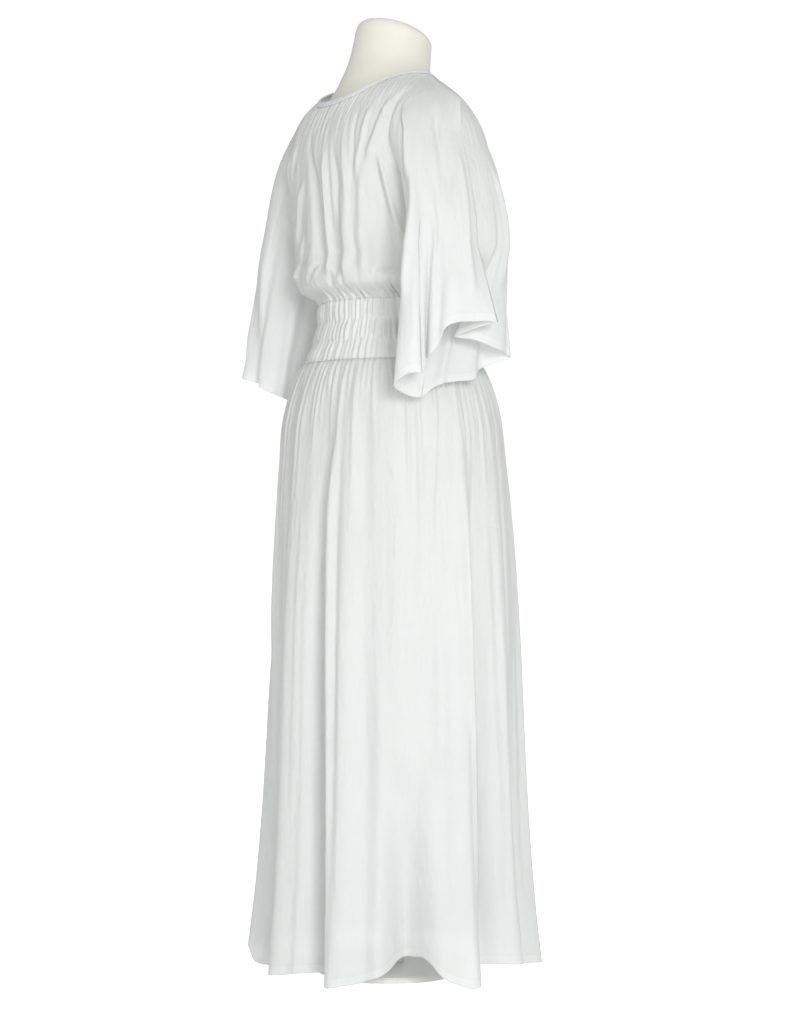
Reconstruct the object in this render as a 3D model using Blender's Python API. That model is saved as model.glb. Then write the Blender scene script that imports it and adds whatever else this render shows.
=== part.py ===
"""Linen dress on a limbless dress form with a round foot.

Metres, +Z up. The form faces -Y and the wearer's left is +X. The foot stands on
Z = 0 with its centre at the origin.

The dress is two bodice panels with the sleeves cut in one, a neck binding, a back
neck placket, a shirred waistband in two halves and a gathered skirt of two panels.
Every panel is a thin wall round a middle surface, and neighbours stop a seam gap
apart.
"""

import math
from collections import namedtuple

import bpy
import numpy as np

# Cloth wall and the gap that neighbouring pieces keep
CLOTH_WALL = 0.0014
BAND_WALL = 0.0018
SEAM_GAP = 0.0003

# Edges that turn more than this many degrees are shaded sharp
SHARP_ANGLE = 50
# Samples along a half ring when its length is shared out
SECTION_SAMPLES = 181

# Columns of one bodice half, from the overarm seam to the other overarm seam
SLEEVE_COLUMNS = 14
TORSO_COLUMNS = 24
HALF_COLUMNS = 2 * SLEEVE_COLUMNS + TORSO_COLUMNS
SHOULDER_COLUMNS = 11
SLEEVE_SHARE = 0.26

# Rows of the bodice: neck to underarm, and each leg below the underarm
YOKE_ROWS = 7
SLEEVE_ROWS = 5
WAIST_COLUMNS = 2 * TORSO_COLUMNS

# Neckline and shoulder seam
UNDERARM_Z = 1.120
SHOULDER_POINT = (0.188, 0.004, 1.348)
NECK_POINT = (0.102, 0.000, 1.399)
NECK_BACK_Y = 0.113
NECK_BACK_Z = 1.355
NECK_FRONT_Y = -0.088
NECK_FRONT_Z = 1.318
NECK_SQUARENESS = 2.5
NECK_BACK_DIP = 1.8
NECK_FRONT_DIP = 1.2
RING_CENTRE_Y = 0.015
RING_SQUARENESS = 2.9
SPLIT_POWER = 1.8
NECK_POWER = 5.0
NECK_GATHER = 0.0014
NECK_GATHER_SHARES = (0.3, 1.0, 0.6)
BINDING_HEIGHT = 0.008

# Outer ring of the bodice above the underarm: half widths to the right and left
# sides, and half depths to the back and front
YokeRing = namedtuple("YokeRing", "z right left back front")
YOKE_RINGS = (
    YokeRing(1.400, 0.148, 0.150, 0.092, 0.082),
    YokeRing(1.365, 0.176, 0.182, 0.110, 0.098),
    YokeRing(1.330, 0.190, 0.204, 0.117, 0.108),
    YokeRing(1.285, 0.200, 0.216, 0.122, 0.110),
    YokeRing(1.235, 0.215, 0.224, 0.124, 0.124),
    YokeRing(1.190, 0.226, 0.229, 0.125, 0.140),
    YokeRing(1.145, 0.240, 0.236, 0.126, 0.168),
    YokeRing(1.110, 0.248, 0.246, 0.126, 0.174),
)

# Torso of the bodice from the underarm to the waist seam
TorsoRing = namedtuple("TorsoRing", "z side back front")
TORSO_RINGS = (
    TorsoRing(1.120, 0.155, 0.121, 0.176),
    TorsoRing(1.096, 0.154, 0.124, 0.172),
    TorsoRing(1.076, 0.147, 0.121, 0.152),
    TorsoRing(1.062, 0.139, 0.113, 0.126),
    TorsoRing(1.050, 0.130, 0.104, 0.106),
)
TORSO_CENTRE_Y = 0.010
TORSO_SQUARENESS = 2.4

# Soft hanging folds of the torso: middle as a share of the way from the right
# underarm to the left, reach either way, and depth (out is positive)
HangingFold = namedtuple("HangingFold", "middle reach depth")
BACK_FOLDS = (
    HangingFold(0.10, 0.10, 0.008),
    HangingFold(0.24, 0.07, -0.007),
    HangingFold(0.36, 0.06, 0.006),
    HangingFold(0.44, 0.05, -0.007),
    HangingFold(0.56, 0.07, 0.006),
    HangingFold(0.68, 0.06, -0.006),
    HangingFold(0.81, 0.08, 0.007),
)
FRONT_FOLDS = (
    HangingFold(0.16, 0.09, 0.007),
    HangingFold(0.31, 0.08, -0.007),
    HangingFold(0.47, 0.08, 0.006),
    HangingFold(0.62, 0.07, -0.006),
    HangingFold(0.80, 0.10, 0.008),
)

# Sleeve loops in column order, from the overarm round the back to the underarm
# seam and on round the front. The stations are columns, x is out from the middle
LoopPoint = namedtuple("LoopPoint", "column x y z")
RIGHT_UNDERARM_LOOP = (
    LoopPoint(0.0, 0.245, 0.015, 1.120),
    LoopPoint(3.0, 0.250, 0.058, 1.120),
    LoopPoint(5.2, 0.226, 0.082, 1.120),
    LoopPoint(7.0, 0.224, 0.108, 1.120),
    LoopPoint(9.0, 0.196, 0.114, 1.120),
    LoopPoint(11.5, 0.170, 0.070, 1.120),
    LoopPoint(14.0, 0.155, 0.010, 1.120),
    LoopPoint(16.5, 0.166, -0.018, 1.120),
    LoopPoint(19.0, 0.176, -0.040, 1.120),
    LoopPoint(22.0, 0.206, -0.070, 1.120),
    LoopPoint(25.0, 0.237, -0.036, 1.120),
    LoopPoint(28.0, 0.245, 0.015, 1.120),
)
RIGHT_HEM_LOOP = (
    LoopPoint(0.0, 0.280, 0.004, 1.002),
    LoopPoint(1.5, 0.276, 0.033, 1.002),
    LoopPoint(3.5, 0.262, 0.089, 0.988),
    LoopPoint(4.6, 0.245, 0.092, 0.954),
    LoopPoint(5.6, 0.220, 0.094, 0.947),
    LoopPoint(6.6, 0.240, 0.106, 0.929),
    LoopPoint(8.0, 0.224, 0.124, 0.925),
    LoopPoint(9.8, 0.199, 0.134, 0.910),
    LoopPoint(11.6, 0.186, 0.112, 0.900),
    LoopPoint(14.0, 0.190, 0.078, 0.893),
    LoopPoint(16.0, 0.194, 0.050, 0.912),
    LoopPoint(17.6, 0.200, 0.018, 0.918),
    LoopPoint(19.0, 0.204, -0.010, 0.922),
    LoopPoint(20.2, 0.191, -0.030, 0.938),
    LoopPoint(22.0, 0.220, -0.070, 0.958),
    LoopPoint(23.6, 0.238, -0.022, 0.968),
    LoopPoint(25.0, 0.233, 0.014, 0.979),
    LoopPoint(26.0, 0.222, 0.036, 0.983),
    LoopPoint(27.0, 0.252, 0.022, 0.994),
    LoopPoint(28.0, 0.280, 0.004, 1.002),
)
LEFT_UNDERARM_LOOP = (
    LoopPoint(0.0, 0.254, 0.020, 1.120),
    LoopPoint(3.0, 0.256, 0.062, 1.120),
    LoopPoint(5.0, 0.246, 0.094, 1.120),
    LoopPoint(7.5, 0.218, 0.108, 1.120),
    LoopPoint(10.5, 0.182, 0.088, 1.120),
    LoopPoint(14.0, 0.155, 0.010, 1.120),
    LoopPoint(17.0, 0.166, -0.022, 1.120),
    LoopPoint(20.0, 0.190, -0.052, 1.120),
    LoopPoint(23.0, 0.222, -0.052, 1.120),
    LoopPoint(26.0, 0.246, -0.020, 1.120),
    LoopPoint(28.0, 0.254, 0.020, 1.120),
)
LEFT_HEM_LOOP = (
    LoopPoint(0.0, 0.296, 0.036, 0.960),
    LoopPoint(2.0, 0.294, 0.078, 0.954),
    LoopPoint(4.2, 0.272, 0.112, 0.943),
    LoopPoint(6.2, 0.246, 0.096, 0.934),
    LoopPoint(8.0, 0.230, 0.104, 0.927),
    LoopPoint(10.5, 0.207, 0.074, 0.909),
    LoopPoint(14.0, 0.204, 0.034, 0.902),
    LoopPoint(16.5, 0.206, -0.006, 0.910),
    LoopPoint(19.0, 0.200, -0.042, 0.928),
    LoopPoint(21.5, 0.226, -0.074, 0.942),
    LoopPoint(23.6, 0.250, -0.048, 0.948),
    LoopPoint(25.4, 0.258, -0.012, 0.952),
    LoopPoint(26.8, 0.284, -0.004, 0.958),
    LoopPoint(28.0, 0.296, 0.036, 0.960),
)

# Waistband: four elastic rows with puffed channels between them
WAIST_TOP_Z = 1.050
ELASTIC_ROWS = 4
ELASTIC_STEP = 0.0313
WAIST_GATHER_AT_ELASTIC = 0.0012
WAIST_GATHER_IN_CHANNEL = 0.0026
CHANNEL_PUFF = 0.0035

# Small gathers: mean height, and the swing and turn for each column of the two
# slow waves that make them uneven
GATHER_MEAN = 0.75
GATHER_LEAST = 0.25
GATHER_SWING = (0.35, 0.25)
GATHER_TURN = (2.4, 0.71)
GATHER_START = 1.3

# Waistband and skirt rings: half width and half depth of the plain section, and
# the height of the small gathers
SkirtRing = namedtuple("SkirtRing", "z side depth gather")
SKIRT_RINGS = (
    SkirtRing(1.0500, 0.130, 0.105, 0.0016),
    SkirtRing(1.0187, 0.131, 0.106, 0.0016),
    SkirtRing(0.9874, 0.140, 0.115, 0.0016),
    SkirtRing(0.9561, 0.154, 0.128, 0.0020),
    SkirtRing(0.9200, 0.172, 0.143, 0.0036),
    SkirtRing(0.8700, 0.189, 0.156, 0.0036),
    SkirtRing(0.7900, 0.200, 0.164, 0.0026),
    SkirtRing(0.6700, 0.209, 0.172, 0.0010),
    SkirtRing(0.5300, 0.214, 0.178, 0.0000),
    SkirtRing(0.3700, 0.217, 0.181, 0.0000),
    SkirtRing(0.2100, 0.222, 0.185, 0.0000),
    SkirtRing(0.0900, 0.230, 0.191, 0.0000),
    SkirtRing(0.0120, 0.238, 0.197, 0.0000),
)
HEM_Z = 0.012
SKIRT_ROW_HEIGHTS = (
    0.9561,
    0.9230,
    0.8760,
    0.7980,
    0.6880,
    0.5480,
    0.3880,
    0.2380,
    0.1080,
    0.0240,
    0.0120,
)
HEM_FOLD_WALL = 0.0026

# Skirt flutes, as seen round the section from the right side seam over the back:
# middle angle, reach to smaller and larger angles, depth at the hem (out is
# positive), and the height where it fades out
Flute = namedtuple("Flute", "angle before after depth top")
FLUTES = (
    Flute(6, 7, 14, 0.016, 0.728),
    Flute(-5, 8, 7, -0.030, 0.828),
    Flute(-20, 10, 10, 0.018, 0.878),
    Flute(-36, 9, 9, -0.020, 0.528),
    Flute(-52, 11, 11, 0.026, 0.928),
    Flute(33, 15, 15, -0.062, 0.348),
    Flute(52, 8, 8, -0.006, 0.928),
    Flute(62, 12, 5, 0.020, 0.928),
    Flute(76, 9, 10, -0.040, 0.928),
    Flute(95, 9, 9, 0.016, 0.928),
    Flute(111, 8, 8, -0.022, 0.728),
    Flute(127, 10, 10, 0.018, 0.488),
    Flute(143, 9, 9, -0.026, 0.828),
    Flute(158, 9, 9, 0.018, 0.728),
    Flute(174, 9, 9, -0.024, 0.878),
    Flute(190, 10, 8, 0.018, 0.828),
    Flute(205, 8, 10, -0.028, 0.678),
    Flute(222, 10, 10, 0.020, 0.928),
    Flute(239, 9, 9, -0.022, 0.778),
    Flute(255, 10, 9, 0.016, 0.628),
    Flute(270, 8, 9, -0.024, 0.878),
    Flute(286, 9, 9, 0.018, 0.728),
    Flute(298, 7, 7, -0.016, 0.628),
)
FLUTE_RISE = 0.85

# Rise of the hem above its lowest ring, by angle all the way round, and how far up
# the skirt the rise is taken out again
HemLift = namedtuple("HemLift", "angle lift")
HEM_LIFTS = (
    HemLift(-64, 0.0000),
    HemLift(-58, 0.0010),
    HemLift(-52, 0.0025),
    HemLift(-46, 0.0060),
    HemLift(-40, 0.0100),
    HemLift(-34, 0.0130),
    HemLift(-28, 0.0190),
    HemLift(-22, 0.0250),
    HemLift(-16, 0.0280),
    HemLift(-7, 0.0280),
    HemLift(-4, 0.0240),
    HemLift(-1, 0.0140),
    HemLift(2, 0.0070),
    HemLift(5, 0.0050),
    HemLift(8, 0.0050),
    HemLift(11, 0.0080),
    HemLift(14, 0.0120),
    HemLift(17, 0.0160),
    HemLift(20, 0.0250),
    HemLift(23, 0.0390),
    HemLift(26, 0.0450),
    HemLift(29, 0.0420),
    HemLift(35, 0.0400),
    HemLift(38, 0.0380),
    HemLift(41, 0.0290),
    HemLift(44, 0.0220),
    HemLift(47, 0.0180),
    HemLift(53, 0.0095),
    HemLift(59, 0.0060),
    HemLift(65, 0.0010),
    HemLift(71, 0.0030),
    HemLift(77, 0.0060),
    HemLift(83, 0.0070),
    HemLift(89, 0.0020),
    HemLift(95, -0.0020),
    HemLift(101, -0.0060),
    HemLift(113, -0.0050),
    HemLift(119, -0.0060),
    HemLift(122, -0.0040),
    HemLift(125, 0.0120),
    HemLift(128, 0.0180),
    HemLift(131, 0.0150),
    HemLift(137, 0.0060),
    HemLift(145, 0.0000),
    HemLift(160, 0.0000),
    HemLift(175, 0.0040),
    HemLift(190, 0.0000),
    HemLift(205, 0.0050),
    HemLift(222, 0.0000),
    HemLift(239, 0.0040),
    HemLift(255, 0.0000),
    HemLift(270, 0.0060),
    HemLift(286, 0.0000),
    HemLift(296, 0.0000),
)
HEM_LIFT_REACH = 0.25

# Back neck placket on the centre back of the bodice, with its levels in bodice rows
PLACKET_WIDTH = 0.011
PLACKET_WALL = 0.0012
PLACKET_GAP = 0.0007
PLACKET_LEVELS = (0.06, 1.0, 1.35)

# Dress form: half width, half depth and middle of each ring, and how its height
# falls toward the front
FormRing = namedtuple("FormRing", "z side depth middle tilt")
FORM_RINGS = (
    FormRing(0.730, 0.150, 0.104, 0.012, 0.0),
    FormRing(0.734, 0.158, 0.111, 0.012, 0.0),
    FormRing(0.745, 0.163, 0.115, 0.012, 0.0),
    FormRing(0.800, 0.167, 0.118, 0.012, 0.0),
    FormRing(0.880, 0.159, 0.112, 0.008, 0.0),
    FormRing(0.950, 0.140, 0.100, 0.004, 0.0),
    FormRing(1.036, 0.1235, 0.098, 0.000, 0.0),
    FormRing(1.090, 0.129, 0.098, -0.003, 0.0),
    FormRing(1.155, 0.144, 0.108, -0.008, 0.0),
    FormRing(1.220, 0.154, 0.104, 0.000, 0.0),
    FormRing(1.270, 0.166, 0.098, 0.008, 0.0),
    FormRing(1.312, 0.171, 0.087, 0.012, 0.0),
    FormRing(1.341, 0.160, 0.079, 0.014, 0.0),
    FormRing(1.362, 0.138, 0.073, 0.015, 0.0),
    FormRing(1.378, 0.115, 0.070, 0.016, 0.0),
    FormRing(1.391, 0.094, 0.068, 0.014, 0.0),
    FormRing(1.406, 0.077, 0.068, 0.010, 0.02),
    FormRing(1.430, 0.065, 0.065, 0.003, 0.06),
    FormRing(1.460, 0.061, 0.062, -0.003, 0.14),
    FormRing(1.473, 0.060, 0.060, -0.005, 0.22),
    FormRing(1.482, 0.054, 0.054, -0.004, 0.25),
    FormRing(1.4865, 0.043, 0.043, -0.003, 0.26),
)
FORM_SIDES = 32

# Stand: pole into the underside of the form and a round foot
POLE_RADIUS = 0.011
POLE_SIDES = 16
FERRULE_RADIUS = 0.020
FERRULE_TOP = 0.036
COLLAR_RADIUS = 0.022
COLLAR_HEIGHT = 0.030
COLLAR_TAPER = 0.018
FOOT_RADIUS = 0.120
FOOT_THICKNESS = 0.009
FOOT_BEVEL = 0.003
FOOT_SIDES = 36

# Finishes: colour, roughness and metallic value
Finish = namedtuple("Finish", "colour roughness metallic")
LINEN = Finish((0.88, 0.90, 0.885, 1.0), 0.90, 0.0)
FORM_JERSEY = Finish((0.80, 0.785, 0.71, 1.0), 0.75, 0.0)
STAND_METAL = Finish((0.72, 0.72, 0.70, 1.0), 0.40, 0.6)


def clear_scene():
    """Remove every object the scene starts with."""
    for old in list(bpy.data.objects):
        bpy.data.objects.remove(old, do_unlink=True)


def material(name, finish):
    """A Principled material for one finish."""
    made = bpy.data.materials.new(name)
    made.use_nodes = True
    shader = made.node_tree.nodes["Principled BSDF"]
    shader.inputs["Base Color"].default_value = finish.colour
    shader.inputs["Roughness"].default_value = finish.roughness
    shader.inputs["Metallic"].default_value = finish.metallic
    return made


def place(name, points, faces, finish):
    """Make a named object from points and faces."""
    mesh = bpy.data.meshes.new(name)
    mesh.from_pydata([tuple(point) for point in points], [], faces)
    mesh.update()
    part = bpy.data.objects.new(name, mesh)
    part.data.materials.append(finish)
    bpy.context.collection.objects.link(part)
    part.data.shade_smooth()
    part.data.set_sharp_from_angle(angle=math.radians(SHARP_ANGLE))
    return part


def smooth_value(stations, values, at):
    """Cubic value through the stations, with slopes from the neighbours."""
    stations = np.asarray(stations, float)
    values = np.asarray(values, float)
    slopes = np.gradient(values, stations)
    at = np.clip(np.asarray(at, float), stations[0], stations[-1])
    cell = np.clip(np.searchsorted(stations, at, side="right") - 1, 0, len(stations) - 2)
    width = stations[cell + 1] - stations[cell]
    t = (at - stations[cell]) / width
    start = (1 + 2 * t) * (1 - t) ** 2 * values[cell] + t * (1 - t) ** 2 * width * slopes[cell]
    end = t * t * (3 - 2 * t) * values[cell + 1] - t * t * (1 - t) * width * slopes[cell + 1]
    return start + end


def ring_value(rings, column, z):
    """Value of one ring column at height z, for rings listed from the top down."""
    rising = rings[::-1]
    return smooth_value([ring.z for ring in rising], [getattr(ring, column) for ring in rising], z)


def half_section(fractions, right, left, depth, middle, squareness):
    """Plan points of a half ring at fractions of its length, right side to left."""
    turn = np.linspace(0.0, math.pi, SECTION_SAMPLES)
    power = 2.0 / squareness
    across = np.sign(np.cos(turn)) * np.abs(np.cos(turn)) ** power
    x = -np.where(across > 0, right, left) * across
    y = middle + depth * np.sin(turn) ** power
    length = np.concatenate([[0.0], np.cumsum(np.hypot(np.diff(x), np.diff(y)))])
    wanted = np.asarray(fractions) * length[-1]
    return np.interp(wanted, length, x), np.interp(wanted, length, y)


def column_fractions():
    """Share of the half ring's length at each bodice column."""
    sleeve = np.linspace(0.0, SLEEVE_SHARE, SLEEVE_COLUMNS + 1)
    torso = np.linspace(SLEEVE_SHARE, 1 - SLEEVE_SHARE, TORSO_COLUMNS + 1)
    return np.concatenate([sleeve, torso[1:], (1 - sleeve[::-1])[1:]])


def neck_row(front):
    """Shoulder seams and neckline, as the top row of a bodice half."""
    last = HALF_COLUMNS
    points = np.zeros((last + 1, 3))
    shoulder = np.array(SHOULDER_POINT)
    neck = np.array(NECK_POINT)
    for column in range(SHOULDER_COLUMNS + 1):
        share = column / SHOULDER_COLUMNS
        point = shoulder + share * (neck - shoulder)
        points[column] = point * (-1, 1, 1)
        points[last - column] = point
    centre_y = NECK_FRONT_Y if front else NECK_BACK_Y
    centre_z = NECK_FRONT_Z if front else NECK_BACK_Z
    dip = NECK_FRONT_DIP if front else NECK_BACK_DIP
    power = 2.0 / NECK_SQUARENESS
    count = last - 2 * SHOULDER_COLUMNS
    for step in range(1, count):
        turn = math.pi * step / count
        side = math.cos(turn)
        column = SHOULDER_COLUMNS + step
        points[column, 0] = -NECK_POINT[0] * math.copysign(abs(side) ** power, side)
        points[column, 1] = neck[1] + (centre_y - neck[1]) * math.sin(turn) ** power
        points[column, 2] = neck[2] - (neck[2] - centre_z) * math.sin(turn) ** dip
    return points


def loop_points(table, columns, side):
    """Points of a sleeve loop at the given columns. side is -1 on the right."""
    stations = [row.column for row in table]
    x = side * smooth_value(stations, [row.x for row in table], columns)
    y = smooth_value(stations, [row.y for row in table], columns)
    z = smooth_value(stations, [row.z for row in table], columns)
    return np.stack([x, y, z], axis=1)


def sleeve_columns(front):
    """Loop stations of one half sleeve, in bodice column order from the overarm."""
    steps = np.arange(SLEEVE_COLUMNS + 1)
    return 2 * SLEEVE_COLUMNS - steps if front else steps


def fold_depth(folds, fractions):
    """Sum of the hanging folds at shares of the way across."""
    total = np.zeros_like(fractions)
    for fold in folds:
        away = np.clip(np.abs(fractions - fold.middle) / fold.reach, 0.0, 1.0)
        total += fold.depth * (0.5 + 0.5 * np.cos(math.pi * away))
    return total


def torso_row(front, z, columns):
    """One row of the bodice between the underarm seams."""
    side = ring_value(TORSO_RINGS, "side", z)
    depth = ring_value(TORSO_RINGS, "front" if front else "back", z)
    fractions = np.linspace(0.0, 1.0, columns + 1)
    x, y = half_section(fractions, side, side, depth, 0.0, TORSO_SQUARENESS)
    hanging = max(0.0, (z - WAIST_TOP_Z) / (UNDERARM_Z - WAIST_TOP_Z))
    y += hanging * fold_depth(FRONT_FOLDS if front else BACK_FOLDS, fractions)
    y = TORSO_CENTRE_Y + (-y if front else y)
    return np.stack([x, y, np.full_like(x, float(z))], axis=1)


def underarm_row(front):
    """The row at underarm height, where sleeves and torso part."""
    columns = sleeve_columns(front)
    right = loop_points(RIGHT_UNDERARM_LOOP, columns, -1)
    left = loop_points(LEFT_UNDERARM_LOOP, columns, 1)[::-1]
    torso = torso_row(front, UNDERARM_Z, TORSO_COLUMNS)
    return np.concatenate([right, torso[1:-1], left])


def yoke_row(front, share, neck, underarm):
    """A row of the bodice above the underarm. share is 0 at the neck."""
    fractions = column_fractions()
    heights = neck[:, 2] * (1 - share) + UNDERARM_Z * share
    row = np.zeros_like(neck)
    for column, fraction in enumerate(fractions):
        row[column, :2] = yoke_point(front, fraction, heights[column])
        top = yoke_point(front, fraction, neck[column, 2])
        split = share**SPLIT_POWER
        row[column, :2] = row[column, :2] * (1 - split) + underarm[column, :2] * split
        row[column, :2] += (neck[column, :2] - top) * (1 - share) ** NECK_POWER
    row[:, 2] = heights
    return row


def yoke_point(front, fraction, z):
    """Plan point of the outer bodice ring at a share of its length."""
    right = ring_value(YOKE_RINGS, "right", z)
    left = ring_value(YOKE_RINGS, "left", z)
    depth = ring_value(YOKE_RINGS, "front" if front else "back", z)
    x, y = half_section([fraction], right, left, depth, 0.0, RING_SQUARENESS)
    return np.array([x[0], RING_CENTRE_Y + (-y[0] if front else y[0])])


def gather_wave(column):
    """Uneven up and down of the small gathers, at a column of the waist."""
    sign = 1 if column % 2 else -1
    uneven = GATHER_MEAN + GATHER_SWING[0] * math.sin(GATHER_TURN[0] * column)
    uneven += GATHER_SWING[1] * math.sin(GATHER_TURN[1] * column + GATHER_START)
    return sign * max(GATHER_LEAST, uneven)


def flute_shape(flute, angle):
    """Height of a flute from 0 to 1 at an angle in degrees."""
    away = (angle - flute.angle + 180) % 360 - 180
    reach = flute.before if away < 0 else flute.after
    return 0.5 + 0.5 * math.cos(math.pi * away / reach) if abs(away) < reach else 0.0


def flute_growth(flute, z):
    """How much of a flute's depth shows at height z."""
    share = max(0.0, (flute.top - z) / (flute.top - HEM_Z))
    return share**FLUTE_RISE


def hem_lift(angle):
    """Rise of the hem at an angle in degrees."""
    first = HEM_LIFTS[0].angle
    place = (angle - first) % 360 + first
    return smooth_value([row.angle for row in HEM_LIFTS], [row.lift for row in HEM_LIFTS], place)


def skirt_point(angle, z, column):
    """A point of the skirt or waistband at an angle in degrees."""
    out = sum(f.depth * flute_shape(f, angle) * flute_growth(f, z) for f in FLUTES)
    out += ring_value(SKIRT_RINGS, "gather", z) * gather_wave(column)
    near_hem = max(0.0, 1 - (z - HEM_Z) / HEM_LIFT_REACH)
    lift = hem_lift(angle) * near_hem
    turn = math.radians(angle)
    side = ring_value(SKIRT_RINGS, "side", z)
    depth = ring_value(SKIRT_RINGS, "depth", z)
    x = -(side + out) * math.cos(turn)
    y = (depth + out) * math.sin(turn)
    return np.array([x, y, z + lift])


def waist_angles(front):
    """Angles of the waist columns of one half, right side seam to left."""
    angles = np.linspace(0.0, 180.0, WAIST_COLUMNS + 1)
    return -angles if front else angles


def waist_columns(front):
    """Gather number of each waist column, shared by both halves at the seams."""
    columns = np.arange(WAIST_COLUMNS + 1)
    return (2 * WAIST_COLUMNS - columns) % (2 * WAIST_COLUMNS) if front else columns


def waist_row(front, z, puff):
    """One row of the waistband."""
    row = []
    for angle, column in zip(waist_angles(front), waist_columns(front)):
        point = skirt_point(angle, z, column)
        gather = WAIST_GATHER_IN_CHANNEL if puff else WAIST_GATHER_AT_ELASTIC
        out = gather * gather_wave(column) + (CHANNEL_PUFF if puff else 0.0)
        turn = math.radians(angle)
        row.append(point + out * np.array([-math.cos(turn), math.sin(turn), 0.0]))
    return np.array(row)


def skirt_row(front, z):
    """One row of a skirt panel."""
    pairs = zip(waist_angles(front), waist_columns(front))
    return np.array([skirt_point(angle, z, column) for angle, column in pairs])


class Sheet:
    """Middle surface of one panel: points, faces and the wall at each point."""

    def __init__(self, wall):
        self.points = []
        self.faces = []
        self.walls = []
        self.wall = wall

    def add_row(self, row, wall=None):
        """Add a row of points and give back their numbers."""
        first = len(self.points)
        self.points.extend(np.array(point) for point in row)
        self.walls.extend([wall or self.wall] * len(row))
        return list(range(first, len(self.points)))

    def strip(self, above, below, flip):
        """Quads between two rows with the same number of points."""
        for step in range(len(above) - 1):
            quad = [above[step], below[step], below[step + 1], above[step + 1]]
            self.faces.append(quad[::-1] if flip else quad)

    def fan(self, above, below, flip):
        """Triangles between a row and one with twice as many steps."""
        for step in range(len(above) - 1):
            a, b = above[step], above[step + 1]
            c, d, e = below[2 * step], below[2 * step + 1], below[2 * step + 2]
            for face in ([a, c, d], [a, d, b], [b, d, e]):
                self.faces.append(face[::-1] if flip else face)


def corner_key(point):
    """Key under which panels share a point."""
    return tuple(np.round(np.asarray(point) * 1e6).astype(int))


def shared_normals(sheets):
    """Unit normals at every shared point, averaged over all the sheets."""
    total = {}
    for sheet in sheets:
        for face in sheet.faces:
            corners = [sheet.points[number] for number in face]
            normal = np.cross(corners[2] - corners[0], corners[-1] - corners[1])
            if len(corners) == 3:
                normal = np.cross(corners[1] - corners[0], corners[2] - corners[0])
            for corner in corners:
                key = corner_key(corner)
                total[key] = total.get(key, np.zeros(3)) + normal
    return {key: normal / np.linalg.norm(normal) for key, normal in total.items()}


def open_edges(faces):
    """Edges of the sheet that only one face uses, in that face's order."""
    used = {}
    for face in faces:
        for start, end in zip(face, face[1:] + face[:1]):
            used.setdefault(frozenset((start, end)), []).append((start, end))
    return [runs[0] for runs in used.values() if len(runs) == 1]


def drawn_in(sheet, edges, normals):
    """Points of the sheet with its open edges moved in by half a seam gap."""
    inward = {}
    on_edge = {number for edge in edges for number in edge}
    for face in sheet.faces:
        centre = sum(sheet.points[number] for number in face) / len(face)
        for number in face:
            if number in on_edge:
                pull = centre - sheet.points[number]
                inward[number] = inward.get(number, np.zeros(3)) + pull / np.linalg.norm(pull)
    points = [point.copy() for point in sheet.points]
    for number, pull in inward.items():
        normal = normals[corner_key(sheet.points[number])]
        pull = pull - normal * float(pull @ normal)
        points[number] += pull / np.linalg.norm(pull) * SEAM_GAP / 2
    return points


def walled(name, sheet, normals, finish):
    """Turn a sheet into a closed wall and place it."""
    edges = open_edges(sheet.faces)
    middle = drawn_in(sheet, edges, normals)
    outer = []
    inner = []
    for number, point in enumerate(middle):
        normal = normals[corner_key(sheet.points[number])]
        outer.append(point + normal * (sheet.walls[number] - sheet.wall / 2))
        inner.append(point - normal * sheet.wall / 2)
    count = len(middle)
    faces = [list(face) for face in sheet.faces]
    faces += [[number + count for number in face[::-1]] for face in sheet.faces]
    faces += [[end, start, start + count, end + count] for start, end in edges]
    return place(name, outer + inner, faces, finish)


def bodice_sheet(front):
    """Middle surface of one bodice half with its two half sleeves."""
    sheet = Sheet(CLOTH_WALL)
    neck = neck_row(front)
    underarm = underarm_row(front)
    rows = []
    for step in range(YOKE_ROWS + 1):
        row = yoke_row(front, step / YOKE_ROWS, neck, underarm)
        if step == YOKE_ROWS:
            row = underarm
        rows.append(row)
    add_neck_gathers(rows)
    above = sheet.add_row(rows[0])
    for row in rows[1:]:
        below = sheet.add_row(row)
        sheet.strip(above, below, front)
        above = below
    add_sleeve(sheet, above[: SLEEVE_COLUMNS + 1], front, -1)
    add_sleeve(sheet, above[HALF_COLUMNS - SLEEVE_COLUMNS :], front, 1)
    add_torso(sheet, above[SLEEVE_COLUMNS : HALF_COLUMNS - SLEEVE_COLUMNS + 1], front)
    return sheet


def add_neck_gathers(rows):
    """Small gathers that fan from the neckline, deepest just below it."""
    for depth, row in zip(NECK_GATHER_SHARES, rows):
        for column in range(SHOULDER_COLUMNS + 1, HALF_COLUMNS - SHOULDER_COLUMNS):
            out = np.array([row[column, 0], row[column, 1], 0.0])
            out /= np.linalg.norm(out)
            row[column] += out * NECK_GATHER * depth * gather_wave(column)


def add_sleeve(sheet, above, front, side):
    """Rows of a half sleeve from the underarm row to its hem."""
    top_table = RIGHT_UNDERARM_LOOP if side < 0 else LEFT_UNDERARM_LOOP
    hem_table = RIGHT_HEM_LOOP if side < 0 else LEFT_HEM_LOOP
    columns = sleeve_columns(front)
    top = loop_points(top_table, columns, side)
    hem = loop_points(hem_table, columns, side)
    if side > 0:
        top = top[::-1]
        hem = hem[::-1]
    for step in range(1, SLEEVE_ROWS + 1):
        share = step / SLEEVE_ROWS
        below = sheet.add_row(top * (1 - share) + hem * share)
        sheet.strip(above, below, front)
        above = below


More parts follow.
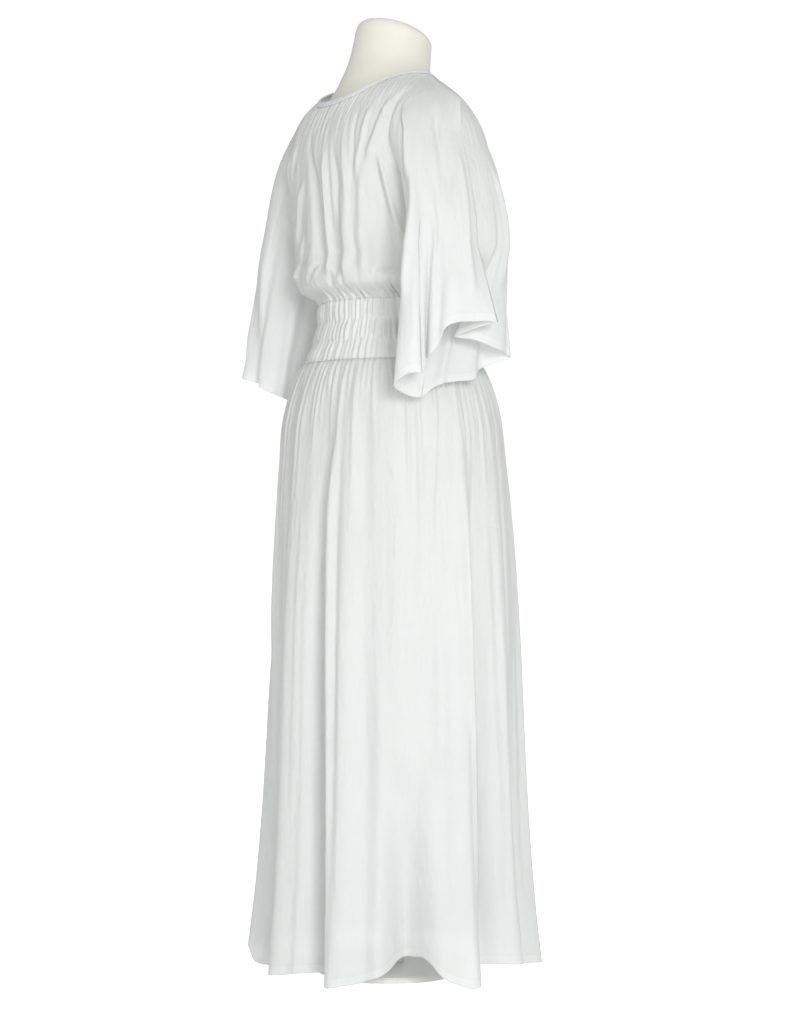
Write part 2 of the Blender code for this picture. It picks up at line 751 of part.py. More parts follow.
def add_torso(sheet, above, front):
    """Rows of the torso from the underarm row to the gathered waist seam."""
    for ring in TORSO_RINGS[1:-2]:
        below = sheet.add_row(torso_row(front, ring.z, TORSO_COLUMNS))
        sheet.strip(above, below, front)
        above = below
    blouse = torso_row(front, TORSO_RINGS[-2].z, WAIST_COLUMNS)
    for point, column in zip(blouse, waist_columns(front)):
        out = np.array([point[0], point[1], 0.0]) / math.hypot(point[0], point[1])
        point += out * WAIST_GATHER_IN_CHANNEL * gather_wave(column)
    below = sheet.add_row(blouse)
    sheet.fan(above, below, front)
    seam = sheet.add_row(waist_row(front, WAIST_TOP_Z, False))
    sheet.strip(below, seam, front)


def waistband_sheet(front):
    """Middle surface of one half of the shirred waistband."""
    sheet = Sheet(CLOTH_WALL)
    above = sheet.add_row(waist_row(front, WAIST_TOP_Z, False))
    for channel in range(ELASTIC_ROWS - 1):
        top = WAIST_TOP_Z - channel * ELASTIC_STEP
        for height, puff in ((top - ELASTIC_STEP / 2, True), (top - ELASTIC_STEP, False)):
            below = sheet.add_row(waist_row(front, height, puff))
            sheet.strip(above, below, front)
            above = below
    return sheet


def skirt_sheet(front):
    """Middle surface of one skirt panel, with its turned hem as a thicker wall."""
    sheet = Sheet(CLOTH_WALL)
    above = sheet.add_row(waist_row(front, SKIRT_ROW_HEIGHTS[0], False))
    for height in SKIRT_ROW_HEIGHTS[1:]:
        wall = HEM_FOLD_WALL if height <= SKIRT_ROW_HEIGHTS[-2] else CLOTH_WALL
        below = sheet.add_row(skirt_row(front, height), wall)
        sheet.strip(above, below, front)
        above = below
    return sheet


def binding_sheet():
    """Middle surface of the binding that stands on the neckline all round."""
    sheet = Sheet(BAND_WALL)
    rows = {}
    for front in (False, True):
        neck = neck_row(front)
        next_row = yoke_row(front, 1 / YOKE_ROWS, neck, underarm_row(front))
        kept = slice(SHOULDER_COLUMNS, HALF_COLUMNS - SHOULDER_COLUMNS + 1)
        gathered = [neck.copy(), next_row]
        add_neck_gathers(gathered)
        rise = neck - next_row
        rise /= np.linalg.norm(rise, axis=1)[:, None]
        rows[front] = (gathered[0][kept], rise[kept])
    back, back_rise = rows[False]
    front, front_rise = rows[True]
    seam_rise = (back_rise[[0, -1]] + front_rise[[0, -1]]) / 2
    back_rise[[0, -1]] = seam_rise
    front_rise[[0, -1]] = seam_rise
    edge = np.concatenate([back, front[::-1][1:-1]])
    rise = np.concatenate([back_rise, front_rise[::-1][1:-1]])
    low = sheet.add_row(edge + rise * SEAM_GAP / 2)
    high = sheet.add_row(edge + rise * BINDING_HEIGHT)
    sheet.strip(high + high[:1], low + low[:1], False)
    return sheet


def placket_sheet():
    """Middle surface of the bound placket, made from the back panel moved out."""
    sheet = Sheet(PLACKET_WALL)
    neck = neck_row(False)
    underarm = underarm_row(False)
    rows = [neck]
    rows += [yoke_row(False, step / YOKE_ROWS, neck, underarm) for step in (1, 2)]
    add_neck_gathers(rows)
    middle = HALF_COLUMNS // 2
    out = (CLOTH_WALL + PLACKET_WALL) / 2 + PLACKET_GAP
    above = None
    for level in PLACKET_LEVELS:
        upper = min(int(level), len(rows) - 2)
        share = level - upper
        line = rows[upper] * (1 - share) + rows[upper + 1] * share
        width = PLACKET_WIDTH / 2 / np.linalg.norm(line[middle] - line[middle - 1])
        right = line[middle] + width * (line[middle - 1] - line[middle])
        left = line[middle] + width * (line[middle + 1] - line[middle])
        normal = np.cross(rows[upper + 1][middle] - rows[upper][middle], left - right)
        normal /= np.linalg.norm(normal)
        below = sheet.add_row([point + normal * out for point in (right, line[middle], left)])
        if above:
            sheet.strip(above, below, False)
        above = below
    return sheet


def build_dress(linen):
    """Place every piece of the dress."""
    panels = {
        "bodice_back": bodice_sheet(False),
        "bodice_front": bodice_sheet(True),
        "waistband_back": waistband_sheet(False),
        "waistband_front": waistband_sheet(True),
        "skirt_back": skirt_sheet(False),
        "skirt_front": skirt_sheet(True),
    }
    normals = shared_normals(panels.values())
    for name, sheet in panels.items():
        walled(name, sheet, normals, linen)
    for name, sheet in (("neck_binding", binding_sheet()), ("neck_placket", placket_sheet())):
        walled(name, sheet, shared_normals([sheet]), linen)


def turned(name, rings, sides, finish):
    """A closed solid from rings of points listed from the bottom up."""
    count = len(rings)
    points = [point for ring in rings for point in ring]
    faces = [list(range(sides))[::-1]]
    for level in range(count - 1):
        low, high = level * sides, (level + 1) * sides
        for side in range(sides):
            following = (side + 1) % sides
            faces.append([low + side, low + following, high + following, high + side])
    faces.append([(count - 1) * sides + side for side in range(sides)])
    return place(name, points, faces, finish)


def form_ring(ring):
    """Points of one ring of the dress form."""
    points = []
    for side in range(FORM_SIDES):
        turn = 2 * math.pi * side / FORM_SIDES
        y = ring.depth * math.sin(turn)
        height = ring.z + ring.tilt * y
        points.append((ring.side * math.cos(turn), ring.middle + y, height))
    return points


def round_ring(radius, z, sides):
    """Points of a plain round ring."""
    turns = [2 * math.pi * side / sides for side in range(sides)]
    return [(radius * math.cos(turn), radius * math.sin(turn), z) for turn in turns]


def build_form(jersey, metal):
    """Place the form, its pole with a collar, and the foot."""
    turned("dress_form", [form_ring(ring) for ring in FORM_RINGS], FORM_SIDES, jersey)
    under_form = FORM_RINGS[0].z - SEAM_GAP
    on_foot = FOOT_THICKNESS + SEAM_GAP
    levels = (
        (FERRULE_RADIUS, on_foot),
        (FERRULE_RADIUS, on_foot + COLLAR_HEIGHT),
        (POLE_RADIUS, on_foot + FERRULE_TOP),
        (POLE_RADIUS, under_form - COLLAR_HEIGHT),
        (COLLAR_RADIUS, under_form - COLLAR_TAPER),
        (COLLAR_RADIUS, under_form),
    )
    rings = [round_ring(radius, z, POLE_SIDES) for radius, z in levels]
    turned("stand_pole", rings, POLE_SIDES, metal)
    foot = (
        (FOOT_RADIUS, 0.0),
        (FOOT_RADIUS, FOOT_THICKNESS - FOOT_BEVEL),
        (FOOT_RADIUS - FOOT_BEVEL, FOOT_THICKNESS),
    )
    rings = [round_ring(radius, z, FOOT_SIDES) for radius, z in foot]
    turned("stand_foot", rings, FOOT_SIDES, metal)


def main():
    """Build the dress and its form."""
    clear_scene()
    linen = material("white_linen", LINEN)
    jersey = material("form_jersey", FORM_JERSEY)
    metal = material("stand_metal", STAND_METAL)
    build_dress(linen)
    build_form(jersey, metal)


main()
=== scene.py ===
"""White linen dress on a limbless dress form, dressed for a view from behind.

Metres, +Z up. The form faces -Y and the wearer's left is +X. Every cloth piece is a
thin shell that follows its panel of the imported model, with its gathers and creases.
"""

import logging
import math
from collections.abc import Iterable
from dataclasses import dataclass, field
from enum import Enum

import bpy
import numpy as np
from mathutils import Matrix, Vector


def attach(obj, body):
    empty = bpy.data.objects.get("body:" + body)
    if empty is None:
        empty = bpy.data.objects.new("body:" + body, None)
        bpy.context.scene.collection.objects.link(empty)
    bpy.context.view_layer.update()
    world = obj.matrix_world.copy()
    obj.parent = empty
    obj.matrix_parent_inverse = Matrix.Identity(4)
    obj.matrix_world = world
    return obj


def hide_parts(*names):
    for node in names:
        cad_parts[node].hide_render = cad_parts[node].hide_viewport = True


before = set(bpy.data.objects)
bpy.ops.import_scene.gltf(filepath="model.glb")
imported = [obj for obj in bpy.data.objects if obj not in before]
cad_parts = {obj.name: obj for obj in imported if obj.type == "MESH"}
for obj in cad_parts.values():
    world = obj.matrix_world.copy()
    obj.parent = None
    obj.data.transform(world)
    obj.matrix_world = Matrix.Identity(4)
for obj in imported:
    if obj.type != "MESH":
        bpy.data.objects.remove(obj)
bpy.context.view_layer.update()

Array = np.ndarray
Path = tuple[tuple[float, float], ...]
Colour = tuple[float, float, float]

TINY = 1e-15
STITCH_LINE = 0.0112
STITCH_PITCH = 0.0030
HEM_WIDTH = 0.012
HEM_EXTRA = 0.0006

log = logging.getLogger("dress")


# Smooth values


def smooth_value(stations: list[float], values: list[float], at: Array) -> Array:
    """Read a smooth curve through stations.

    Args:
        stations: Rising places where the value is known.
        values: The value at each station.
        at: Places to read.

    Returns:
        The value at each place, held level past the ends.
    """
    places = np.asarray(stations, float)
    known = np.asarray(values, float)
    slopes = np.gradient(known, places)
    at = np.clip(np.asarray(at, float), places[0], places[-1])
    cell = np.clip(np.searchsorted(places, at, side="right") - 1, 0, len(places) - 2)
    width = places[cell + 1] - places[cell]
    t = (at - places[cell]) / width
    start = (1 + 2 * t) * (1 - t) ** 2 * known[cell] + t * (1 - t) ** 2 * width * slopes[cell]
    end = t * t * (3 - 2 * t) * known[cell + 1] - t * t * (1 - t) * width * slopes[cell + 1]
    return start + end


def bump(t: Array) -> Array:
    """Cosine bump that is 1 at 0 and falls to 0 at 1 either way."""
    return np.where(np.abs(t) < 1, 0.5 + 0.5 * np.cos(math.pi * np.asarray(t)), 0.0)


def rise(low: float, high: float, value: Array) -> Array:
    """Soft step from 0 at low to 1 at high."""
    t = np.clip((np.asarray(value, float) - low) / (high - low), 0.0, 1.0)
    return t * t * (3 - 2 * t)


def unit(vectors: Array) -> Array:
    """Vectors along the last axis, made one long."""
    return vectors / (np.linalg.norm(vectors, axis=-1)[..., None] + TINY)


def steps_down(grid: Array) -> Array:
    """Length of cloth from each row of a grid to the next."""
    return np.linalg.norm(np.diff(grid, axis=0), axis=-1)


def distance_to_last_row(grid: Array) -> Array:
    """Length of cloth from each point of a grid down to its last row.

    Args:
        grid: Rows of points from the top down.

    Returns:
        The length at each point.
    """
    down = steps_down(grid)
    left = np.cumsum(down[::-1], axis=0)[::-1]
    return np.concatenate([left, np.zeros((1, left.shape[1]))])


@dataclass(frozen=True)
class RingTable:
    """Sizes listed by height from the top down, read smoothly in between."""

    names: tuple[str, ...]
    rows: tuple[tuple[float, ...], ...]

    def at(self, name: str, z: Array) -> Array:
        """Read one size.

        Args:
            name: Which size.
            z: Heights.

        Returns:
            The size at each height.
        """
        column = self.names.index(name)
        rising = self.rows[::-1]
        return smooth_value([row[0] for row in rising], [row[column] for row in rising], z)


@dataclass(frozen=True)
class Crease:
    """A ridge, or a trough where height is below 0, along a path over the cloth.

    The path is (across, down) stations with down rising. before and after are the
    reaches to smaller and larger across values, and ends are the shares of the length
    over which it fades at its start and end.
    """

    path: Path
    before: float
    after: float
    height: float
    ends: tuple[float, float] = (0.25, 0.25)

    def at(self, across: Array, down: Array) -> Array:
        """Height of the crease at places on the cloth.

        Args:
            across: Place across the cloth, in columns or degrees.
            down: Place down the cloth.

        Returns:
            Heights in metres.
        """
        stations = [station[1] for station in self.path]
        centre = np.interp(down, stations, [station[0] for station in self.path])
        away = (across - centre + 180.0) % 360.0 - 180.0
        shape = bump(away / np.where(away < 0, self.before, self.after))
        first, last = stations[0], stations[-1]
        length = last - first
        fade = rise(first, first + self.ends[0] * length, down)
        fade *= 1 - rise(last - self.ends[1] * length, last, down)
        return self.height * shape * fade


def sum_of_creases(creases: Iterable[Crease], across: Array, down: Array) -> Array:
    """Heights of several creases added up.

    Args:
        creases: The creases.
        across: Place across the cloth.
        down: Place down the cloth.

    Returns:
        Heights in metres.
    """
    total = np.zeros(np.broadcast(across, down).shape)
    for crease in creases:
        total += crease.at(across, down)
    return total


# Waist, waistband and skirt


@dataclass(frozen=True)
class Flute:
    """A fold of the skirt that deepens toward the hem."""

    angle: float
    before: float
    after: float
    depth: float
    top: float


@dataclass
class SkirtShape:
    """Waistband and skirt as one surface of angle and height.

    Angles are degrees round the section from the right side seam over the back.
    """

    waist_top: float = 1.050
    elastic_rows: int = 4
    elastic_step: float = 0.0313
    hem: float = 0.012
    channel_puff: float = 0.0005
    pucker_at_elastic: float = 0.0016
    pucker_in_channel: float = 0.0026
    pucker_waves: int = 14
    pucker_range: tuple[int, int] = (58, 110)
    pucker_evenness: float = 3.4
    flute_rise: float = 0.85
    lift_reach: float = 0.25
    gather_count: int = 116
    seed: int = 7
    rings: RingTable = RingTable(
        ("z", "side", "depth"),
        (
            (1.0500, 0.130, 0.105),
            (1.0187, 0.131, 0.106),
            (0.9874, 0.140, 0.115),
            (0.9561, 0.154, 0.128),
            (0.9200, 0.172, 0.143),
            (0.8700, 0.189, 0.156),
            (0.7900, 0.200, 0.164),
            (0.6700, 0.209, 0.172),
            (0.5300, 0.214, 0.178),
            (0.3700, 0.217, 0.181),
            (0.2100, 0.222, 0.185),
            (0.0900, 0.230, 0.191),
            (0.0120, 0.238, 0.197),
        ),
    )
    flutes: tuple[Flute, ...] = (
        Flute(6, 7, 14, 0.016, 0.728),
        Flute(-5, 8, 7, -0.030, 0.828),
        Flute(-20, 10, 10, 0.018, 0.878),
        Flute(-36, 9, 9, -0.020, 0.528),
        Flute(-52, 11, 11, 0.026, 0.928),
        Flute(33, 15, 15, -0.062, 0.348),
        Flute(52, 8, 8, -0.006, 0.928),
        Flute(62, 12, 5, 0.020, 0.928),
        Flute(76, 9, 10, -0.040, 0.928),
        Flute(95, 9, 9, 0.016, 0.928),
        Flute(111, 8, 8, -0.022, 0.728),
        Flute(127, 10, 10, 0.018, 0.488),
        Flute(143, 9, 9, -0.026, 0.828),
        Flute(158, 9, 9, 0.018, 0.728),
        Flute(174, 9, 9, -0.024, 0.878),
        Flute(190, 10, 8, 0.018, 0.828),
        Flute(205, 8, 10, -0.028, 0.678),
        Flute(222, 10, 10, 0.020, 0.928),
        Flute(239, 9, 9, -0.022, 0.778),
        Flute(255, 10, 9, 0.016, 0.628),
        Flute(270, 8, 9, -0.024, 0.878),
        Flute(286, 9, 9, 0.018, 0.728),
        Flute(298, 7, 7, -0.016, 0.628),
    )
    # Rise of the hem at each angle
    hem_lifts: Path = (
        (-64, 0.0000), (-58, 0.0010), (-52, 0.0025), (-46, 0.0060), (-40, 0.0100),
        (-34, 0.0130), (-28, 0.0190), (-22, 0.0250), (-16, 0.0280), (-7, 0.0280),
        (-4, 0.0240), (-1, 0.0140), (2, 0.0070), (5, 0.0050), (8, 0.0050),
        (11, 0.0080), (14, 0.0120), (17, 0.0160), (20, 0.0250), (23, 0.0390),
        (26, 0.0450), (29, 0.0420), (35, 0.0400), (38, 0.0380), (41, 0.0290),
        (44, 0.0220), (47, 0.0180), (53, 0.0095), (59, 0.0060), (65, 0.0010),
        (71, 0.0030), (77, 0.0060), (83, 0.0070), (89, 0.0020), (95, -0.0020),
        (101, -0.0060), (113, -0.0050), (119, -0.0060), (122, -0.0040), (125, 0.0120),
        (128, 0.0180), (131, 0.0150), (137, 0.0060), (145, 0.0000), (160, 0.0000),
        (175, 0.0040), (190, 0.0000), (205, 0.0050), (222, 0.0000), (239, 0.0040),
        (255, 0.0000), (270, 0.0060), (286, 0.0000), (296, 0.0000),
    )
    # Placed creases of the skirt: angle and height below 0, reaches in degrees, height
    creases: tuple[Crease, ...] = (
        Crease(((54.0, -0.898), (54.0, -0.828), (53.0, -0.668)), 6, 6, -0.0040),
        Crease(((17.0, -0.628), (16.5, -0.128)), 6, 6, -0.0045),
        Crease(((14.3, -0.908), (20.3, -0.658)), 2.2, 1.2, -0.0030),
        Crease(((3.5, -0.868), (8.5, -0.648)), 4, 4, 0.0035),
        Crease(
            ((2.6, -0.868), (3.4, -0.668), (2.0, -0.438), (-1.0, -0.368), (-1.0, -0.028)), 1.7, 4.5, 0.0110
        ),
        Crease(((-1.5, -0.828), (-2.0, -0.438), (-6.0, -0.028)), 4.0, 2.2, -0.0090),
        Crease(
            ((65.8, -0.888), (70.3, -0.798), (71.0, -0.668), (69.0, -0.438), (66.0, 0.010)),
            5.0,
            1.5,
            0.0130,
            (0.2, 0.01),
        ),
        Crease(((76.0, -0.828), (77.0, -0.438), (74.0, 0.010)), 3.4, 7.5, -0.0110, (0.3, 0.01)),
        Crease(((-14.0, -0.768), (-18.0, -0.268), (-14.0, -0.028)), 3.5, 3.5, -0.0030),
        Crease(((-30.0, -0.888), (-28.0, -0.468)), 4, 4, -0.0035),
        Crease(((38.0, -0.868), (36.0, -0.488)), 7, 7, 0.0030),
        Crease(((28.0, -0.848), (30.0, -0.568)), 4, 4, -0.0025),
        Crease(((45.0, -0.518), (43.0, -0.088)), 6, 6, 0.0030),
        Crease(((102.0, -0.868), (104.0, -0.418), (101.0, -0.048)), 4, 4, -0.0030),
        Crease(((88.0, -0.768), (89.0, -0.188)), 3, 3, 0.0030),
        Crease(((119.0, -0.898), (121.0, -0.468)), 4, 4, 0.0035),
        Crease(((136.0, -0.868), (134.0, -0.368)), 4, 5, -0.0035),
        Crease(((151.0, -0.828), (150.0, -0.268), (152.0, -0.028)), 4, 4, 0.0040),
        Crease(((167.0, -0.868), (166.0, -0.518)), 4, 4, -0.0030),
        Crease(((183.0, -0.668), (182.0, -0.088)), 4, 4, 0.0040),
        Crease(((198.0, -0.888), (196.0, -0.428)), 5, 4, -0.0040),
        Crease(((214.0, -0.848), (213.0, -0.168)), 4, 4, 0.0035),
        Crease(((231.0, -0.868), (230.0, -0.568)), 4, 4, -0.0035),
        Crease(((247.0, -0.688), (246.0, -0.068)), 5, 4, 0.0040),
        Crease(((262.0, -0.888), (264.0, -0.448)), 4, 4, 0.0035),
        Crease(((279.0, -0.828), (278.0, -0.288)), 4, 4, -0.0035),
        Crease(((312.0, -0.668), (314.0, -0.068)), 4, 4, -0.0040),
    )

    def __post_init__(self) -> None:
        """Draw the small gathers: each has a place, a width, a length and a height."""
        draw = np.random.default_rng(self.seed)
        waves = (self.elastic_rows + 1, self.pucker_waves)
        self.pucker_turns = draw.uniform(0, 2 * math.pi, waves)
        self.pucker_counts = draw.choice(np.arange(*self.pucker_range), waves)
        count = self.gather_count
        places = np.arange(count) * 360.0 / count + draw.uniform(-1.0, 1.0, count)
        self.gathers = [
            Crease(
                ((place, -self.skirt_top - 0.002), (place + lean, -self.skirt_top + length)),
                width,
                width * skew,
                height,
                (0.02, 0.85),
            )
            for place, lean, length, width, skew, height in zip(
                places,
                draw.uniform(-1.5, 1.5, count),
                0.06 + 0.30 * draw.uniform(0, 1, count) ** 2.2,
                draw.uniform(1.2, 2.3, count),
                draw.uniform(0.8, 1.2, count),
                draw.uniform(0.0024, 0.0062, count),
            )
        ]

    @property
    def skirt_top(self) -> float:
        """Height of the seam between waistband and skirt."""
        return self.waist_top - (self.elastic_rows - 1) * self.elastic_step

    def puckers(self, angle: Array, band: int) -> Array:
        """Uneven waves of one channel of the waistband, about -1 to 1.

        Args:
            angle: Degrees round the section.
            band: Number of the channel.

        Returns:
            Height of the wave at each angle.
        """
        turn = np.radians(angle)
        total = np.zeros_like(turn)
        for count, start in zip(self.pucker_counts[band], self.pucker_turns[band]):
            total += np.sin(count * turn + start)
        return total / self.pucker_evenness

    def band_wave(self, angle: Array, z: Array) -> Array:
        """Puckers with each channel's own pattern, joined softly at the elastic rows.

        Args:
            angle: Degrees round the section.
            z: Heights.

        Returns:
            The blended wave.
        """
        place = (self.waist_top - z) / self.elastic_step
        total = np.zeros_like(place)
        weights = np.zeros_like(place)
        for band in range(self.elastic_rows + 1):
            away = np.abs(place - (band - 0.5))
            weight = 1 - rise(0.30, 0.72, away)
            if band == 0:
                weight = np.where(place < 0, 1.0, weight)
            if band == self.elastic_rows:
                weight = np.where(place > self.elastic_rows - 1, 1.0, weight)
            total += weight * self.puckers(angle, band)
            weights += weight
        return total / np.maximum(weights, 1e-6)

    def channel_share(self, z: Array) -> Array:
        """How far a height is from the nearest elastic row.

        Args:
            z: Heights.

        Returns:
            0 on a row, rising to 1 midway between two rows.
        """
        place = (self.waist_top - z) / self.elastic_step
        inside = np.abs(np.sin(math.pi * np.clip(place, -0.5, self.elastic_rows - 0.5)))
        return inside**1.4

    def flute_depth(self, angle: Array, z: Array) -> Array:
        """Depth of the folds that deepen toward the hem.

        Args:
            angle: Degrees round the section.
            z: Heights.

        Returns:
            Depth outward in metres.
        """
        depth = np.zeros_like(z)
        for flute in self.flutes:
            away = (angle - flute.angle + 180) % 360 - 180
            shape = bump(away / np.where(away < 0, flute.before, flute.after))
            growth = np.maximum(0.0, (flute.top - z) / (flute.top - self.hem)) ** self.flute_rise
            depth += flute.depth * shape * growth
        return depth

    def hem_lift(self, angle: Array, z: Array) -> Array:
        """Rise of the hem, taken out again up the skirt.

        Args:
            angle: Degrees round the section.
            z: Heights.

        Returns:
            Rise in metres.
        """
        first = self.hem_lifts[0][0]
        place = (angle - first) % 360 + first
        lift = smooth_value([row[0] for row in self.hem_lifts], [row[1] for row in self.hem_lifts], place)
        return lift * np.maximum(0.0, 1 - (z - self.hem) / self.lift_reach)

    def surface(self, angle: Array, z: Array) -> Array:
        """Points of the waistband and skirt.

        Args:
            angle: Degrees round the section.
            z: Heights before the hem's lift.

        Returns:
            Points, with one more axis than the inputs.
        """
        angle, z = np.broadcast_arrays(np.asarray(angle, float), np.asarray(z, float))
        out, lift = self.flute_depth(angle, z), self.hem_lift(angle, z)
        in_band = rise(self.skirt_top - 0.012, self.skirt_top + 0.004, z)
        above = rise(self.waist_top, self.waist_top + 0.03, z)
        share = self.channel_share(z)
        pucker = self.pucker_at_elastic * (1 - share) + self.pucker_in_channel * share
        puff = self.channel_puff * share * (1 - above)
        out = out + in_band * (puff + pucker * (1 - 0.6 * above) * self.band_wave(angle, z))
        out = out + (1 - in_band) * sum_of_creases(self.gathers, angle, -z)
        out = out + sum_of_creases(self.creases, angle, -z)
        turn = np.radians(angle)
        side = self.rings.at("side", z)
        depth = self.rings.at("depth", z)
        x = -(side + out) * np.cos(turn)
        y = (depth + out) * np.sin(turn)
        return np.stack([x, y, z + lift], axis=-1)


# Bodice and sleeves


LoopTable = tuple[tuple[float, float, float, float], ...]


def half_section(
    fractions: Array, right: float, left: float, depth: float, squareness: float
) -> tuple[Array, Array]:
    """Plan points of a half ring at shares of its length, right side to left.

    Args:
        fractions: Shares of the length.
        right: Half width to the right side.
        left: Half width to the left side.
        depth: Half depth.
        squareness: 2 for an ellipse, more for a squarer ring.

    Returns:
        X and depth of each point.
    """
    turn = np.linspace(0.0, math.pi, 361)
    power = 2.0 / squareness
    across = np.sign(np.cos(turn)) * np.abs(np.cos(turn)) ** power
    x = -np.where(across > 0, right, left) * across
    y = depth * np.clip(np.sin(turn), 0, 1) ** power
    length = np.concatenate([[0.0], np.cumsum(np.hypot(np.diff(x), np.diff(y)))])
    wanted = np.asarray(fractions) * length[-1]
    return np.interp(wanted, length, x), np.interp(wanted, length, y)


@dataclass
class BodiceShape:
    """The two bodice panels as surfaces of column and level.

    Columns run from 0 at the right overarm seam to 52 at the left one. Levels are 0
    at the neck and shoulder seams, 1 at the underarm, and 2 at the waist or the
    sleeve hem.
    """

    skirt: SkirtShape
    sleeve_columns: float = 14.0
    last_column: float = 52.0
    shoulder_columns: float = 11.0
    sleeve_share: float = 0.26
    underarm_z: float = 1.120
    shoulder: tuple[float, float, float] = (0.188, 0.004, 1.348)
    neck: tuple[float, float, float] = (0.102, 0.000, 1.399)
    neck_back: tuple[float, float, float] = (0.113, 1.355, 1.8)
    neck_front: tuple[float, float, float] = (-0.088, 1.318, 1.2)
    neck_squareness: float = 2.5
    ring_centre: float = 0.015
    ring_squareness: float = 2.9
    torso_centre: float = 0.010
    torso_squareness: float = 2.4
    split_power: float = 1.8
    neck_power: float = 5.0
    yoke: RingTable = RingTable(
        ("z", "right", "left", "back", "front"),
        (
            (1.4000, 0.148, 0.150, 0.092, 0.082),
            (1.3650, 0.176, 0.182, 0.110, 0.098),
            (1.3300, 0.190, 0.204, 0.117, 0.108),
            (1.2850, 0.200, 0.216, 0.122, 0.110),
            (1.2350, 0.215, 0.224, 0.124, 0.124),
            (1.1900, 0.226, 0.229, 0.125, 0.140),
            (1.1450, 0.240, 0.236, 0.126, 0.168),
            (1.1100, 0.248, 0.246, 0.126, 0.174),
        ),
    )
    torso: RingTable = RingTable(
        ("z", "side", "back", "front"),
        (
            (1.1200, 0.155, 0.121, 0.176),
            (1.0960, 0.154, 0.124, 0.172),
            (1.0760, 0.147, 0.121, 0.152),
            (1.0620, 0.139, 0.113, 0.126),
            (1.0500, 0.130, 0.104, 0.106),
        ),
    )
    # Sleeve loops: column from the overarm seam round the back, x outward, y, z
    right_underarm: LoopTable = (
        (0.0, 0.245, 0.015, 1.120),
        (3.0, 0.250, 0.058, 1.120),
        (5.2, 0.226, 0.082, 1.120),
        (7.0, 0.224, 0.108, 1.120),
        (9.0, 0.196, 0.114, 1.120),
        (11.5, 0.170, 0.070, 1.120),
        (14.0, 0.155, 0.010, 1.120),
        (16.5, 0.166, -0.018, 1.120),
        (19.0, 0.176, -0.040, 1.120),
        (22.0, 0.206, -0.070, 1.120),
        (25.0, 0.237, -0.036, 1.120),
        (28.0, 0.245, 0.015, 1.120),
    )
    right_hem: LoopTable = (
        (0.0, 0.280, 0.004, 1.002),
        (1.5, 0.276, 0.033, 1.002),
        (3.5, 0.262, 0.089, 0.988),
        (4.6, 0.245, 0.092, 0.954),
        (5.6, 0.220, 0.094, 0.947),
        (6.6, 0.240, 0.106, 0.929),
        (8.0, 0.224, 0.124, 0.925),
        (9.8, 0.199, 0.134, 0.910),
        (11.6, 0.186, 0.112, 0.900),
        (14.0, 0.190, 0.078, 0.893),
        (16.0, 0.194, 0.050, 0.912),
        (17.6, 0.200, 0.018, 0.918),
        (19.0, 0.204, -0.010, 0.922),
        (20.2, 0.191, -0.030, 0.938),
        (22.0, 0.220, -0.070, 0.958),
        (23.6, 0.238, -0.022, 0.968),
        (25.0, 0.233, 0.014, 0.979),
        (26.0, 0.222, 0.036, 0.983),
        (27.0, 0.252, 0.022, 0.994),
        (28.0, 0.280, 0.004, 1.002),
    )
    left_underarm: LoopTable = (
        (0.0, 0.254, 0.020, 1.120),
        (3.0, 0.256, 0.062, 1.120),
        (5.0, 0.246, 0.094, 1.120),
        (7.5, 0.218, 0.108, 1.120),
        (10.5, 0.182, 0.088, 1.120),
        (14.0, 0.155, 0.010, 1.120),
        (17.0, 0.166, -0.022, 1.120),
        (20.0, 0.190, -0.052, 1.120),
        (23.0, 0.222, -0.052, 1.120),
        (26.0, 0.246, -0.020, 1.120),
        (28.0, 0.254, 0.020, 1.120),
    )
    left_hem: LoopTable = (
        (0.0, 0.296, 0.036, 0.960),
        (2.0, 0.294, 0.078, 0.954),
        (4.2, 0.272, 0.112, 0.943),
        (6.2, 0.246, 0.096, 0.934),
        (8.0, 0.230, 0.104, 0.927),
        (10.5, 0.207, 0.074, 0.909),
        (14.0, 0.204, 0.034, 0.902),
        (16.5, 0.206, -0.006, 0.910),
        (19.0, 0.200, -0.042, 0.928),
        (21.5, 0.226, -0.074, 0.942),
        (23.6, 0.250, -0.048, 0.948),
        (25.4, 0.258, -0.012, 0.952),
        (26.8, 0.284, -0.004, 0.958),
        (28.0, 0.296, 0.036, 0.960),
    )
    # Broad torso folds: place across, reach, height
    back_folds: tuple[tuple[float, float, float], ...] = (
        (0.10, 0.10, 0.008),
        (0.24, 0.07, -0.007),
        (0.36, 0.06, 0.006),
        (0.44, 0.05, -0.007),
        (0.56, 0.07, 0.006),
        (0.68, 0.06, -0.006),
        (0.81, 0.08, 0.007),
    )
    front_folds: tuple[tuple[float, float, float], ...] = (
        (0.16, 0.09, 0.007),
        (0.31, 0.08, -0.007),
        (0.47, 0.08, 0.006),
        (0.62, 0.07, -0.006),
        (0.80, 0.10, 0.008),
    )
